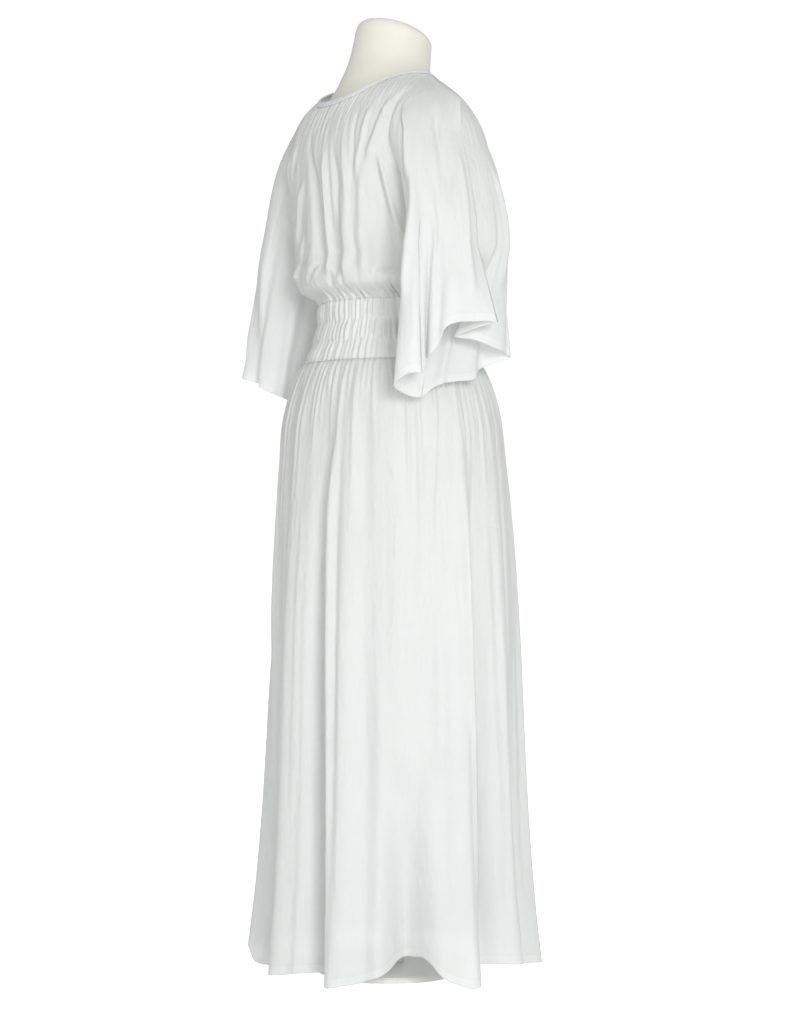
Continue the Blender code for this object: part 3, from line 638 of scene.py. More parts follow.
    # Placed creases of the bodice: column and level, reaches in columns, height
    back_creases: tuple[Crease, ...] = (
        Crease(((29.0, 0.10), (26.4, 0.50), (26.0, 0.84), (25.6, 1.50)), 0.8, 1.2, 0.0059),
        Crease(((24.8, 0.16), (24.4, 0.52), (24.9, 0.84), (24.8, 1.60)), 0.8, 0.7, -0.0091),
        Crease(((22.8, 0.20), (22.6, 0.54), (23.6, 0.86), (23.8, 1.60)), 1.1, 0.7, 0.0065),
        Crease(((20.8, 0.20), (21.2, 0.56), (22.2, 0.86), (22.8, 1.62)), 0.7, 0.7, -0.0039),
        Crease(((12.6, 0.14), (15.4, 0.36), (18.0, 0.52)), 0.9, 0.9, -0.0082),
        Crease(((11.0, 0.10), (13.0, 0.32), (14.6, 0.50)), 0.8, 0.8, 0.0061),
        Crease(((16.0, 0.14), (17.6, 0.36), (20.4, 0.58)), 0.7, 0.7, -0.0047),
        Crease(((18.6, 0.12), (19.4, 0.40), (21.0, 0.66)), 0.6, 0.6, 0.0039),
        Crease(((16.4, 0.40), (17.6, 0.72), (19.2, 0.94), (19.2, 1.60)), 2.2, 1.6, 0.0143),
        Crease(((18.4, 0.44), (20.0, 0.70), (21.0, 0.94), (20.8, 1.60)), 0.9, 0.8, -0.0072),
        Crease(((15.6, 0.44), (16.4, 0.66), (17.2, 0.92)), 0.6, 0.7, -0.0078),
        Crease(((10.8, 0.18), (8.8, 0.36), (8.4, 0.70)), 0.8, 0.8, -0.0076),
        Crease(((9.8, 0.30), (9.4, 0.70), (10.0, 1.20), (10.6, 1.70)), 0.9, 1.1, 0.0085),
        Crease(((8.0, 0.46), (7.8, 0.76), (8.2, 1.08), (8.8, 1.50)), 0.7, 0.7, -0.0085),
        Crease(((7.2, 0.56), (6.7, 1.00), (6.9, 1.46), (7.1, 2.06)), 0.9, 0.8, 0.0102, (0.3, 0.02)),
        Crease(((5.8, 0.60), (5.1, 1.00), (4.8, 1.52), (4.7, 2.06)), 0.7, 0.7, -0.0085, (0.3, 0.02)),
        Crease(((5.0, 0.16), (4.2, 0.40), (3.9, 0.74)), 0.9, 0.9, 0.0058),
        Crease(((3.0, 0.28), (3.2, 0.74), (3.0, 1.50)), 1.1, 1.0, 0.0058),
        Crease(((1.2, 0.30), (1.5, 0.90), (1.8, 1.80)), 0.6, 0.7, -0.0048),
        Crease(((2.4, 0.52), (3.6, 0.94)), 0.5, 0.5, -0.0037),
        Crease(((27.4, 0.88), (28.8, 1.06), (30.4, 1.46)), 0.6, 0.6, 0.0078),
        Crease(((28.8, 0.80), (30.2, 1.06), (31.8, 1.50)), 0.6, 0.7, -0.0078),
        Crease(((30.6, 0.84), (31.8, 1.08), (33.4, 1.40)), 0.6, 0.6, 0.0065),
        Crease(((26.4, 1.15), (27.8, 1.50), (28.4, 1.80)), 0.6, 0.6, 0.0052),
        Crease(((29.5, 0.46), (30.8, 0.84), (31.2, 1.10)), 1.0, 1.0, -0.0072),
        Crease(((31.0, 0.18), (32.6, 0.44), (34.2, 0.70)), 0.9, 0.9, 0.0055),
        Crease(((33.4, 0.30), (36.6, 0.60), (38.4, 0.86)), 0.9, 0.9, -0.0059),
        Crease(
            ((36.2, 0.34), (41.2, 0.72), (43.0, 1.02), (44.0, 1.42), (45.8, 2.06)),
            1.2,
            1.2,
            0.0065,
            (0.25, 0.02),
        ),
        Crease(((40.2, 1.06), (40.8, 1.54), (41.8, 2.06)), 0.9, 0.9, -0.0085, (0.3, 0.02)),
        Crease(((46.6, 0.50), (47.6, 1.10), (48.2, 1.90)), 0.8, 0.9, -0.0061),
        Crease(((49.4, 0.40), (50.0, 1.00), (50.2, 1.70)), 0.7, 0.7, 0.0051),
    )
    front_creases: tuple[Crease, ...] = (
        Crease(((16.0, 0.28), (17.5, 0.80), (18.5, 1.60)), 1.3, 1.2, 0.0091),
        Crease(((19.0, 0.20), (19.6, 0.70), (20.2, 1.40)), 0.7, 0.8, -0.0052),
        Crease(((21.6, 0.16), (21.0, 0.70), (21.5, 1.60)), 0.8, 0.9, -0.0065),
        Crease(((24.5, 0.14), (23.8, 0.80), (24.6, 1.60)), 0.9, 0.7, 0.0059),
        Crease(((26.6, 0.10), (26.4, 0.50), (26.9, 1.20)), 0.6, 0.6, -0.0039),
        Crease(((28.6, 0.22), (28.9, 0.90), (28.2, 1.60)), 0.9, 0.9, 0.0052),
        Crease(((31.5, 0.18), (32.2, 0.75), (31.6, 1.60)), 1.0, 1.2, 0.0084),
        Crease(((33.8, 0.24), (34.2, 0.70), (33.6, 1.50)), 0.8, 0.7, -0.0065),
        Crease(((36.0, 0.34), (35.2, 0.90), (35.8, 1.45)), 0.8, 0.8, 0.0039),
        Crease(((10.5, 0.18), (9.0, 0.55), (8.6, 0.95)), 0.8, 0.8, -0.0076),
        Crease(((12.8, 0.24), (12.0, 0.60), (12.4, 0.90)), 0.7, 0.7, 0.0061),
        Crease(((6.8, 0.48), (6.2, 1.00), (5.6, 2.06)), 0.9, 0.7, 0.0076, (0.3, 0.02)),
        Crease(((4.4, 0.40), (4.2, 0.90), (4.0, 1.50)), 0.7, 0.8, -0.0058),
        Crease(((3.0, 0.60), (2.6, 1.20), (2.2, 2.06)), 0.7, 0.7, 0.0048, (0.3, 0.02)),
        Crease(((12.2, 1.05), (11.6, 1.50), (12.0, 2.06)), 0.7, 0.8, 0.0058, (0.3, 0.02)),
        Crease(((39.6, 1.05), (40.4, 1.50), (40.0, 2.06)), 0.7, 0.8, 0.0058, (0.3, 0.02)),
        Crease(((42.0, 0.24), (43.2, 0.60), (43.8, 1.00)), 0.8, 0.9, -0.0076),
        Crease(((45.6, 0.46), (46.2, 1.10), (46.6, 2.06)), 0.8, 0.9, 0.0076, (0.3, 0.02)),
        Crease(((48.4, 0.40), (48.8, 1.10), (48.6, 1.90)), 0.7, 0.7, -0.0058, (0.3, 0.02)),
    )
    neck_gathers: int = 44
    waist_gathers: int = 62
    seed: int = 11

    def __post_init__(self) -> None:
        """Draw the small gathers below the neckline and above the waist seam."""
        draw = np.random.default_rng(self.seed)
        inner, outer = self.shoulder_columns + 0.6, self.last_column - self.shoulder_columns - 0.6
        first, last = self.sleeve_columns + 0.5, self.last_column - self.sleeve_columns - 0.5
        self.gathers = {}
        for front in (False, True):
            near_neck = [
                self.gather(
                    draw, place, (0.0, draw.uniform(0.12, 0.20) + 0.34 * draw.uniform() ** 2), (0.02, 0.9)
                )
                for place in np.linspace(inner, outer, self.neck_gathers)
            ]
            near_waist = [
                self.gather(draw, place, (1.80 - 1.25 * draw.uniform() ** 1.5, 2.02), (0.80, 0.02))
                for place in np.linspace(first, last, self.waist_gathers)
            ]
            self.gathers[front] = near_neck + near_waist

    def gather(
        self, draw: np.random.Generator, place: float, reach: tuple[float, float], ends: tuple[float, float]
    ) -> Crease:
        """One small gather with its own width, lean and height.

        Args:
            draw: Source of the uneven values.
            place: Column where it starts.
            reach: Levels between which it runs.
            ends: Shares of its length over which it fades.

        Returns:
            The gather.
        """
        place += draw.uniform(-0.15, 0.15)
        lean = draw.uniform(-0.5, 0.5) * (reach[1] - reach[0])
        width = draw.uniform(0.26, 0.50)
        path = ((place, reach[0]), (place + lean, reach[1]))
        return Crease(path, width, width * draw.uniform(0.8, 1.2), draw.uniform(0.0014, 0.0036), ends)

    def column_fraction(self, columns: Array) -> Array:
        """Share of the half ring's length at each column."""
        stations = [0.0, self.sleeve_columns, self.last_column - self.sleeve_columns, self.last_column]
        return np.interp(columns, stations, [0.0, self.sleeve_share, 1 - self.sleeve_share, 1.0])

    def neck_row(self, front: bool, columns: Array) -> Array:
        """Shoulder seams and neckline.

        Args:
            front: Whether this is the front panel.
            columns: Where to read it.

        Returns:
            A point for each column.
        """
        last = self.last_column
        inner = self.shoulder_columns
        centre_y, centre_z, dip = self.neck_front if front else self.neck_back
        shoulder = np.array(self.shoulder)
        neck = np.array(self.neck)
        mirrored = np.minimum(columns, last - columns)
        share = np.clip(mirrored / inner, 0, 1)[:, None]
        points = shoulder + share * (neck - shoulder)
        points[:, 0] *= np.where(columns < last / 2, -1, 1)
        turn = np.clip(math.pi * (columns - inner) / (last - 2 * inner), 0, math.pi)
        power = 2.0 / self.neck_squareness
        on_neck = (columns > inner) & (columns < last - inner)
        side = np.cos(turn)
        lift = np.clip(np.sin(turn), 0, 1)
        points[on_neck, 0] = (-neck[0] * np.sign(side) * np.abs(side) ** power)[on_neck]
        points[on_neck, 1] = (neck[1] + (centre_y - neck[1]) * lift**power)[on_neck]
        points[on_neck, 2] = (neck[2] - (neck[2] - centre_z) * lift**dip)[on_neck]
        return points

    def loop(self, table: LoopTable, stations: Array, side: int) -> Array:
        """Points of a sleeve loop.

        Args:
            table: Column, x out from the middle, y and z of each known point.
            stations: Columns to read.
            side: -1 on the right, 1 on the left.

        Returns:
            A point for each station.
        """
        known = [row[0] for row in table]
        x, y, z = (smooth_value(known, [row[axis] for row in table], stations) for axis in (1, 2, 3))
        return np.stack([side * x, y, z], axis=-1)

    def stations(self, front: bool, columns: Array, side: int) -> Array:
        """Loop stations of a half sleeve's columns.

        Args:
            front: Whether this is the front panel.
            columns: Bodice columns on that sleeve.
            side: -1 on the right, 1 on the left.

        Returns:
            Station of each column.
        """
        from_overarm = columns if side < 0 else self.last_column - columns
        return 2 * self.sleeve_columns - from_overarm if front else from_overarm

    def torso_row(self, front: bool, z: float, columns: Array) -> Array:
        """One row of the torso between the side seams.

        Args:
            front: Whether this is the front panel.
            z: Its height.
            columns: Bodice columns.

        Returns:
            A point for each column.
        """
        fractions = (columns - self.sleeve_columns) / (self.last_column - 2 * self.sleeve_columns)
        side = float(self.torso.at("side", z))
        depth = float(self.torso.at("front" if front else "back", z))
        x, y = half_section(fractions, side, side, depth, self.torso_squareness)
        share = max(0.0, (z - self.skirt.waist_top) / (self.underarm_z - self.skirt.waist_top))
        for middle, reach, height in self.front_folds if front else self.back_folds:
            y = y + share * height * bump((fractions - middle) / reach)
        y = self.torso_centre + (-y if front else y)
        return np.stack([x, y, np.full_like(x, z)], axis=-1)

    def underarm_row(self, front: bool, columns: Array) -> Array:
        """The row at the underarm, where the sleeves and torso part.

        Args:
            front: Whether this is the front panel.
            columns: Bodice columns.

        Returns:
            A point for each column.
        """
        first, last = self.sleeve_columns, self.last_column - self.sleeve_columns
        right = self.loop(self.right_underarm, self.stations(front, columns, -1), -1)
        left = self.loop(self.left_underarm, self.stations(front, columns, 1), 1)
        torso = self.torso_row(front, self.underarm_z, np.clip(columns, first, last))
        row = np.where((columns <= first)[:, None], right, torso)
        return np.where((columns >= last)[:, None], left, row)

    def yoke_grid(self, front: bool, columns: Array, levels: Array) -> Array:
        """Rows from the neck to the underarm.

        Args:
            front: Whether this is the front panel.
            columns: Bodice columns.
            levels: Levels from 0 to 1.

        Returns:
            Points by level and column.
        """
        neck = self.neck_row(front, columns)
        underarm = self.underarm_row(front, columns)
        fractions = self.column_fraction(columns)
        heights = np.linspace(self.underarm_z - 0.01, self.neck[2] + 0.001, 90)
        rings = np.zeros((len(heights), len(columns), 2))
        for number, z in enumerate(heights):
            right, left, depth = (
                float(self.yoke.at(name, z)) for name in ("right", "left", "front" if front else "back")
            )
            x, y = half_section(fractions, right, left, depth, self.ring_squareness)
            rings[number, :, 0] = x
            rings[number, :, 1] = self.ring_centre + (-y if front else y)
        share = levels[:, None]
        z = neck[:, 2] * (1 - share) + self.underarm_z * share
        grid = np.zeros((len(levels), len(columns), 3))
        split = share**self.split_power
        pull = (1 - share) ** self.neck_power
        for axis in (0, 1):
            ring = np.stack(
                [np.interp(z[:, c], heights, rings[:, c, axis]) for c in range(len(columns))], axis=1
            )
            top = np.array([np.interp(neck[c, 2], heights, rings[:, c, axis]) for c in range(len(columns))])
            grid[:, :, axis] = ring * (1 - split) + underarm[:, axis] * split + (neck[:, axis] - top) * pull
        grid[:, :, 2] = z
        return grid

    def sleeve_grid(self, front: bool, columns: Array, levels: Array, side: int) -> Array:
        """Rows of a half sleeve from the underarm to its hem.

        Args:
            front: Whether this is the front panel.
            columns: Bodice columns on that sleeve.
            levels: Levels from 1 to 2.
            side: -1 on the right, 1 on the left.

        Returns:
            Points by level and column.
        """
        stations = self.stations(front, columns, side)
        top = self.loop(self.right_underarm if side < 0 else self.left_underarm, stations, side)
        hem = self.loop(self.right_hem if side < 0 else self.left_hem, stations, side)
        share = (levels - 1)[:, None, None]
        return top * (1 - share) + hem * share

    def torso_grid(self, front: bool, columns: Array, levels: Array) -> Array:
        """Rows of the torso from the underarm to the gathered waist seam.

        Args:
            front: Whether this is the front panel.
            columns: Bodice columns between the side seams.
            levels: Levels from 1 to 2.

        Returns:
            Points by level and column.
        """
        skirt = self.skirt
        heights = self.underarm_z + (skirt.waist_top - self.underarm_z) * (levels - 1)
        angles = self.waist_angles(front, columns)
        waist = skirt.surface(angles[None, :], heights[:, None])
        rows = np.array([self.torso_row(front, float(z), columns) for z in heights])
        blend = rise(skirt.waist_top + 0.024, skirt.waist_top, heights)[:, None, None]
        return rows * (1 - blend) + waist * blend

    def waist_angles(self, front: bool, columns: Array) -> Array:
        """Skirt angle of each torso column."""
        share = (columns - self.sleeve_columns) / (self.last_column - 2 * self.sleeve_columns)
        return (-180.0 if front else 180.0) * share

    def crease_height(self, front: bool, columns: Array, levels: Array) -> Array:
        """Height of the creases, kept off the seams.

        Args:
            front: Whether this is the front panel.
            columns: Bodice columns.
            levels: Levels.

        Returns:
            Heights by level and column.
        """
        across, down = np.meshgrid(columns, levels)
        total = sum_of_creases(self.front_creases if front else self.back_creases, across, down)
        edge = np.minimum(across, self.last_column - across)
        keep = rise(0.0, 1.0, edge)
        on_shoulder = edge < self.shoulder_columns
        keep = np.where(on_shoulder, keep * rise(0.0, 0.05, down), keep)
        seam = np.abs(edge - self.sleeve_columns)
        keep *= 1 - (1 - rise(0.0, 1.6, seam)) * rise(0.7, 1.0, down)
        torso = (edge >= self.sleeve_columns) & (down > 1)
        keep = np.where(torso, keep * (1 - rise(1.65, 1.95, down)), keep)
        small = sum_of_creases(self.gathers[front], across, down)
        return total * keep + small * (1 - np.where(torso, rise(1.80, 2.0, down), 0.0))


    def raised(self, front: bool, grid: Array, columns: Array, levels: Array) -> Array:
        """Grid with its creases raised.

        Args:
            front: Whether this is the front panel.
            grid: Plain points.
            columns: Their columns.
            levels: Their levels.

        Returns:
            The points with their creases.
        """
        return grid + level_normals(grid, front) * self.crease_height(front, columns, levels)[..., None]


# Cloth shells


@dataclass
class ClothPanel:
    """Middle surface of one cut piece, built from grids that share rows."""

    name: str
    wall: float = 0.0008
    points: list[Array] = field(default_factory=list)
    marks: list[Array] = field(default_factory=list)
    walls: list[Array] = field(default_factory=list)
    quads: list[Array] = field(default_factory=list)
    count: int = 0

    def add_grid(
        self, grid: Array, marks: Array, extra: Array, flip: bool, top: Array | None = None
    ) -> Array:
        """Add a grid of points and its faces.

        Args:
            grid: Points by row and column.
            marks: Place on the flat cut and distance to the hem, by row and column.
            extra: Thickness added on the outer side.
            flip: Whether the faces turn the other way.
            top: Numbers of points that stand in for the grid's first row.

        Returns:
            The number of each point of the grid.
        """
        rows, columns = grid.shape[:2]
        start = 0 if top is None else 1
        fresh = np.arange((rows - start) * columns).reshape(rows - start, columns) + self.count
        numbers = fresh if top is None else np.concatenate([top[None, :], fresh])
        self.points.append(grid[start:].reshape(-1, 3))
        self.marks.append(marks[start:].reshape(-1, 3))
        self.walls.append(extra[start:].reshape(-1))
        self.count += fresh.size
        corners = [numbers[:-1, :-1], numbers[1:, :-1], numbers[1:, 1:], numbers[:-1, 1:]]
        quads = np.stack(corners[::-1] if flip else corners, axis=-1).reshape(-1, 4)
        self.quads.append(quads)
        return numbers

    def middle(self) -> Array:
        """All points of the middle surface."""
        return np.concatenate(self.points)

    def faces(self) -> Array:
        """All faces of the middle surface."""
        return np.concatenate(self.quads)


def cut_marks(grid: Array, middle_column: int, start: tuple[float, float], hem: Array) -> Array:
    """Place of each point on the flat cut, measured along the cloth.

    Args:
        grid: Points by row and column.
        middle_column: Column from which the width is measured.
        start: Width and length at that column's first row.
        hem: Distance to the hem edge by row and column.

    Returns:
        Width, length and hem distance by row and column.
    """
    across = np.linalg.norm(np.diff(grid, axis=1), axis=-1).mean(axis=0)
    width = np.concatenate([[0.0], np.cumsum(across)])
    width = np.broadcast_to(width - width[middle_column], grid.shape[:2])
    length = np.concatenate([np.zeros((1, grid.shape[1])), np.cumsum(steps_down(grid), axis=0)])
    return np.stack([width + start[0], length + start[1], hem], axis=-1)


def level_normals(grid: Array, flip: bool) -> Array:
    """Level unit vectors square to the rows of a grid.

    Args:
        grid: Points by row and column.
        flip: Whether outward is the other way.

    Returns:
        A unit vector for each point.
    """
    normal = unit(np.cross(np.array([0.0, 0.0, -1.0]), np.gradient(grid, axis=1)))
    return -normal if flip else normal


def shared_normals(panels: list[ClothPanel]) -> list[Array]:
    """Normals of several panels, averaged where they meet.

    Args:
        panels: The panels.

    Returns:
        Unit normals for the points of each panel.
    """
    points = np.concatenate([panel.middle() for panel in panels])
    starts = np.cumsum([0] + [panel.count for panel in panels])
    keys = np.round(points * 2e5).astype(np.int64)
    _, same = np.unique(keys, axis=0, return_inverse=True)
    same = same.reshape(-1)
    total = np.zeros((same.max() + 1, 3))
    for panel, start in zip(panels, starts):
        corners = points[panel.faces() + start]
        normal = np.cross(corners[:, 2] - corners[:, 0], corners[:, 3] - corners[:, 1])
        for corner in range(4):
            np.add.at(total, same[panel.faces()[:, corner] + start], normal)
    total = unit(total)
    return [total[same[start : start + panel.count]] for panel, start in zip(panels, starts)]


def new_object(name: str, points: Array, faces: list, smooth: bool = True) -> bpy.types.Object:
    """Make and link a mesh object.

    Args:
        name: Its name.
        points: Its points.
        faces: Its faces.
        smooth: Whether it is shaded smooth.

    Returns:
        The object.
    """
    mesh = bpy.data.meshes.new(name)
    mesh.from_pydata(points.tolist(), [], faces)
    mesh.update()
    made = bpy.data.objects.new(name, mesh)
    bpy.context.collection.objects.link(made)
    if smooth:
        mesh.shade_smooth()
    return made


def mark_points(made: bpy.types.Object, name: str, values: Array) -> None:
    """Store a vector for each point of a mesh, for its finish to read."""
    layer = made.data.attributes.new(name, "FLOAT_VECTOR", "POINT")
    layer.data.foreach_set("vector", values.astype(np.float32).ravel())


def shell(panel: ClothPanel, normals: Array) -> bpy.types.Object:
    """Close a panel's middle surface into a thin wall.

    Args:
        panel: The panel.
        normals: Its normals.

    Returns:
        The object.
    """
    middle = panel.middle()
    faces = panel.faces()
    extra = np.concatenate(panel.walls)[:, None]
    outer = middle + normals * (panel.wall / 2 + extra)
    inner = middle - normals * (panel.wall / 2)
    count = panel.count
    edges = np.concatenate([faces[:, [k, (k + 1) % 4]] for k in range(4)])
    keys = np.sort(edges, axis=1)
    _, first, uses = np.unique(keys, axis=0, return_index=True, return_counts=True)
    rim = edges[first[uses == 1]]
    rims = np.stack([rim[:, 1], rim[:, 0], rim[:, 0] + count, rim[:, 1] + count], axis=1)
    everything = np.concatenate([faces, faces[:, ::-1] + count, rims]).tolist()
    made = new_object(panel.name, np.concatenate([outer, inner]), everything)
    marks = np.concatenate(panel.marks)
    mark_points(made, "cut", np.concatenate([marks, marks]))
    return made


# Finishes


class Weave(Enum):
    """How far apart a cloth's threads lie, in metres."""

    LINEN = 0.00085
    TAPE = 0.00060


def link(tree: bpy.types.NodeTree, source: bpy.types.NodeSocket, target: bpy.types.NodeSocket) -> None:
    """Join two sockets."""
    tree.links.new(source, target)


def add_node(tree: bpy.types.NodeTree, kind: str, **values: object) -> bpy.types.Node:
    """Add a node and set its properties.

    Args:
        tree: Where it goes.
        kind: Its type.
        values: Property names and values.

    Returns:
        The node.
    """
    node = tree.nodes.new(kind)
    for name, value in values.items():
        setattr(node, name, value)
    return node


def sum_of(
    tree: bpy.types.NodeTree, operation: str, first: object, second: object = 0.0, third: object = 0.0
) -> bpy.types.NodeSocket:
    """A Math node on sockets or numbers.

    Args:
        tree: Where it goes.
        operation: The Math node's operation.
        first: Socket or number.
        second: Socket or number.
        third: Socket or number.

    Returns:
        Its output.
    """
    node = add_node(tree, "ShaderNodeMath", operation=operation)
    for place, value in enumerate((first, second, third)):
        if isinstance(value, (int, float)):
            node.inputs[place].default_value = value
        else:
            link(tree, value, node.inputs[place])
    return node.outputs[0]


def new_group(name: str, inputs: dict[str, object], outputs: dict[str, str]) -> bpy.types.NodeTree:
    """A shader node group with named sockets.

    Args:
        name: Its name.
        inputs: Name and default of each input. None stands for a vector.
        outputs: Name and socket type of each output.

    Returns:
        The group, with its input and output nodes named In and Out.
    """
    tree = bpy.data.node_groups.new(name, "ShaderNodeTree")
    for label, value in inputs.items():
        kind = "NodeSocketVector" if value is None else "NodeSocketFloat"
        socket = tree.interface.new_socket(label, in_out="INPUT", socket_type=kind)
        if value is not None:
            socket.default_value = value
    for label, kind in outputs.items():
        tree.interface.new_socket(label, in_out="OUTPUT", socket_type=kind)
    add_node(tree, "NodeGroupInput", name="In")
    add_node(tree, "NodeGroupOutput", name="Out")
    return tree


def noise(
    tree: bpy.types.NodeTree, vector: bpy.types.NodeSocket, scale: tuple[float, float, float], detail: float
) -> bpy.types.NodeSocket:
    """Noise stretched differently along each axis.

    Args:
        tree: Where it goes.
        vector: Coordinates in metres.
        scale: Waves to a metre along each axis.
        detail: Octaves.

    Returns:
        The noise value.
    """
    stretch = add_node(tree, "ShaderNodeVectorMath", operation="MULTIPLY")
    stretch.inputs[1].default_value = scale
    link(tree, vector, stretch.inputs[0])
    cloud = add_node(tree, "ShaderNodeTexNoise")
    cloud.inputs["Scale"].default_value = 1.0
    cloud.inputs["Detail"].default_value = detail
    link(tree, stretch.outputs[0], cloud.inputs["Vector"])
    return cloud.outputs["Fac"]


def new_material(name: str) -> tuple[bpy.types.Material, bpy.types.NodeTree, bpy.types.Node]:
    """Make a material with nodes.

    Args:
        name: Name of the material.

    Returns:
        The material, its node tree and its Principled shader.
    """
    made = bpy.data.materials.new(name)
    made.use_nodes = True
    return made, made.node_tree, made.node_tree.nodes["Principled BSDF"]


def colour_between(
    tree: bpy.types.NodeTree, shade: Colour, light: Colour, share: bpy.types.NodeSocket
) -> None:
    """Mix two colours into the Principled shader's base colour.

    Args:
        tree: The material's node tree.
        shade: Colour where the share is 0.
        light: Colour where the share is 1.
        share: Socket that chooses between them.
    """
    colour = add_node(tree, "ShaderNodeMix", data_type="RGBA")
    colour.inputs["A"].default_value = (*shade, 1)
    colour.inputs["B"].default_value = (*light, 1)
    link(tree, share, colour.inputs["Factor"])
    link(tree, colour.outputs["Result"], tree.nodes["Principled BSDF"].inputs["Base Color"])


def relief(
    tree: bpy.types.NodeTree, height: bpy.types.NodeSocket, strength: float, distance: float
) -> bpy.types.Node:
    """A Bump node.

    Args:
        tree: The material's node tree.
        height: Socket of the height.
        strength: Its strength.
        distance: Its depth in metres.

    Returns:
        The node.
    """
    bumps = add_node(tree, "ShaderNodeBump")
    bumps.inputs["Strength"].default_value = strength
    bumps.inputs["Distance"].default_value = distance
    link(tree, height, bumps.inputs["Height"])
    return bumps


def build_weave_group() -> bpy.types.NodeTree:
    """Plain weave with slubs, read from the place on the flat cut.

    Returns:
        The group, with outputs Height, Tone and Dense.
    """
    tree = new_group(
        "plain_weave",
        {"Cut": None, "Pitch": 0.0008, "Slub": 0.5},
        {"Height": "NodeSocketFloat", "Tone": "NodeSocketFloat", "Dense": "NodeSocketFloat"},
    )
    inside, out = tree.nodes["In"], tree.nodes["Out"]
    cut = inside.outputs["Cut"]
    wobble = noise(tree, cut, (90.0, 90.0, 0.0), 0.0)
    parts = add_node(tree, "ShaderNodeSeparateXYZ")
    link(tree, cut, parts.inputs[0])
    turns = []
    for axis in ("X", "Y"):
        shifted = sum_of(tree, "MULTIPLY_ADD", wobble, 0.0016, parts.outputs[axis])
        steps = sum_of(tree, "DIVIDE", shifted, inside.outputs["Pitch"])
        turns.append(sum_of(tree, "MULTIPLY", steps, math.pi))
    warp = sum_of(tree, "ABSOLUTE", sum_of(tree, "SINE", turns[0]))
    weft = sum_of(tree, "ABSOLUTE", sum_of(tree, "SINE", turns[1]))
    over = sum_of(tree, "MULTIPLY", sum_of(tree, "SINE", turns[0]), sum_of(tree, "SINE", turns[1]))
    threads = sum_of(tree, "MAXIMUM", warp, weft)
    height = sum_of(tree, "MULTIPLY_ADD", over, 0.35, threads)
    streaks = []
    for scale in ((700.0, 12.0, 0.0), (12.0, 700.0, 0.0)):
        streak = noise(tree, cut, scale, 1.0)
        raised = add_node(tree, "ShaderNodeMapRange", interpolation_type="SMOOTHSTEP")
        raised.inputs["From Min"].default_value = 0.52
        raised.inputs["From Max"].default_value = 0.74
        link(tree, streak, raised.inputs["Value"])
        streaks.append(raised.outputs[0])
    slubs = sum_of(tree, "MAXIMUM", streaks[0], sum_of(tree, "MULTIPLY", streaks[1], 0.8))
    slubs = sum_of(tree, "MULTIPLY", slubs, inside.outputs["Slub"])
    cloud = noise(tree, cut, (13.0, 9.0, 0.0), 2.0)
    link(tree, sum_of(tree, "ADD", height, slubs), out.inputs["Height"])
    tone = sum_of(tree, "MULTIPLY_ADD", slubs, -0.35, cloud)
    link(tree, sum_of(tree, "MULTIPLY_ADD", threads, 0.15, tone), out.inputs["Tone"])
    dense = sum_of(tree, "MULTIPLY_ADD", slubs, 0.5, sum_of(tree, "MULTIPLY", threads, 0.5))
    link(tree, dense, out.inputs["Dense"])
    return tree


def build_crumple_group() -> bpy.types.NodeTree:
    """Soft washed creases as a height, the same in every cloth.

    Returns:
        The group, with output Height.
    """
    tree = new_group("washed_crumple", {"Cut": None}, {"Height": "NodeSocketFloat"})
    inside, out = tree.nodes["In"], tree.nodes["Out"]
    cut = inside.outputs["Cut"]
    broad = noise(tree, cut, (42.0, 11.0, 0.0), 2.0)
    ridged = sum_of(tree, "ABSOLUTE", sum_of(tree, "SUBTRACT", broad, 0.5))
    fine = noise(tree, cut, (130.0, 60.0, 0.0), 1.0)
    link(tree, sum_of(tree, "MULTIPLY_ADD", fine, 0.3, ridged), out.inputs["Height"])
    return tree


def build_stitch_group() -> bpy.types.NodeTree:
    """A row of running stitches beside a hem or along an elastic row.

    Returns:
        The group, with outputs Height and Tone. Tone lightens the thread and darkens a band beside it with
        painted shade, as if the groove were shaded.
    """
    tree = new_group(
        "stitch_row",
        {"Cut": None, "Line": STITCH_LINE, "Pitch": STITCH_PITCH},
        {"Height": "NodeSocketFloat", "Tone": "NodeSocketFloat"},
    )
    inside, out = tree.nodes["In"], tree.nodes["Out"]
    parts = add_node(tree, "ShaderNodeSeparateXYZ")
    link(tree, inside.outputs["Cut"], parts.inputs[0])
    away = sum_of(tree, "ABSOLUTE", sum_of(tree, "SUBTRACT", parts.outputs["Z"], inside.outputs["Line"]))
    masks = []
    for width in (0.0004, 0.0011):
        near = add_node(tree, "ShaderNodeMapRange", interpolation_type="SMOOTHSTEP")
        near.inputs["From Min"].default_value = width
        near.inputs["From Max"].default_value = 0.0
        link(tree, away, near.inputs["Value"])
        masks.append(near.outputs[0])
    steps = sum_of(tree, "FRACT", sum_of(tree, "DIVIDE", parts.outputs["X"], inside.outputs["Pitch"]))
    thread = sum_of(tree, "MULTIPLY", masks[0], sum_of(tree, "LESS_THAN", steps, 0.74))
    link(tree, sum_of(tree, "MULTIPLY_ADD", masks[1], -0.8, thread), out.inputs["Height"])
    # Painted shade: the band 1.1 mm round the stitch line is darkened as a shaded groove, and the thread
    # itself is lighter.
    tone = sum_of(tree, "MULTIPLY_ADD", masks[1], -0.12, sum_of(tree, "MULTIPLY", thread, 0.24))
    link(tree, tone, out.inputs["Tone"])
    return tree


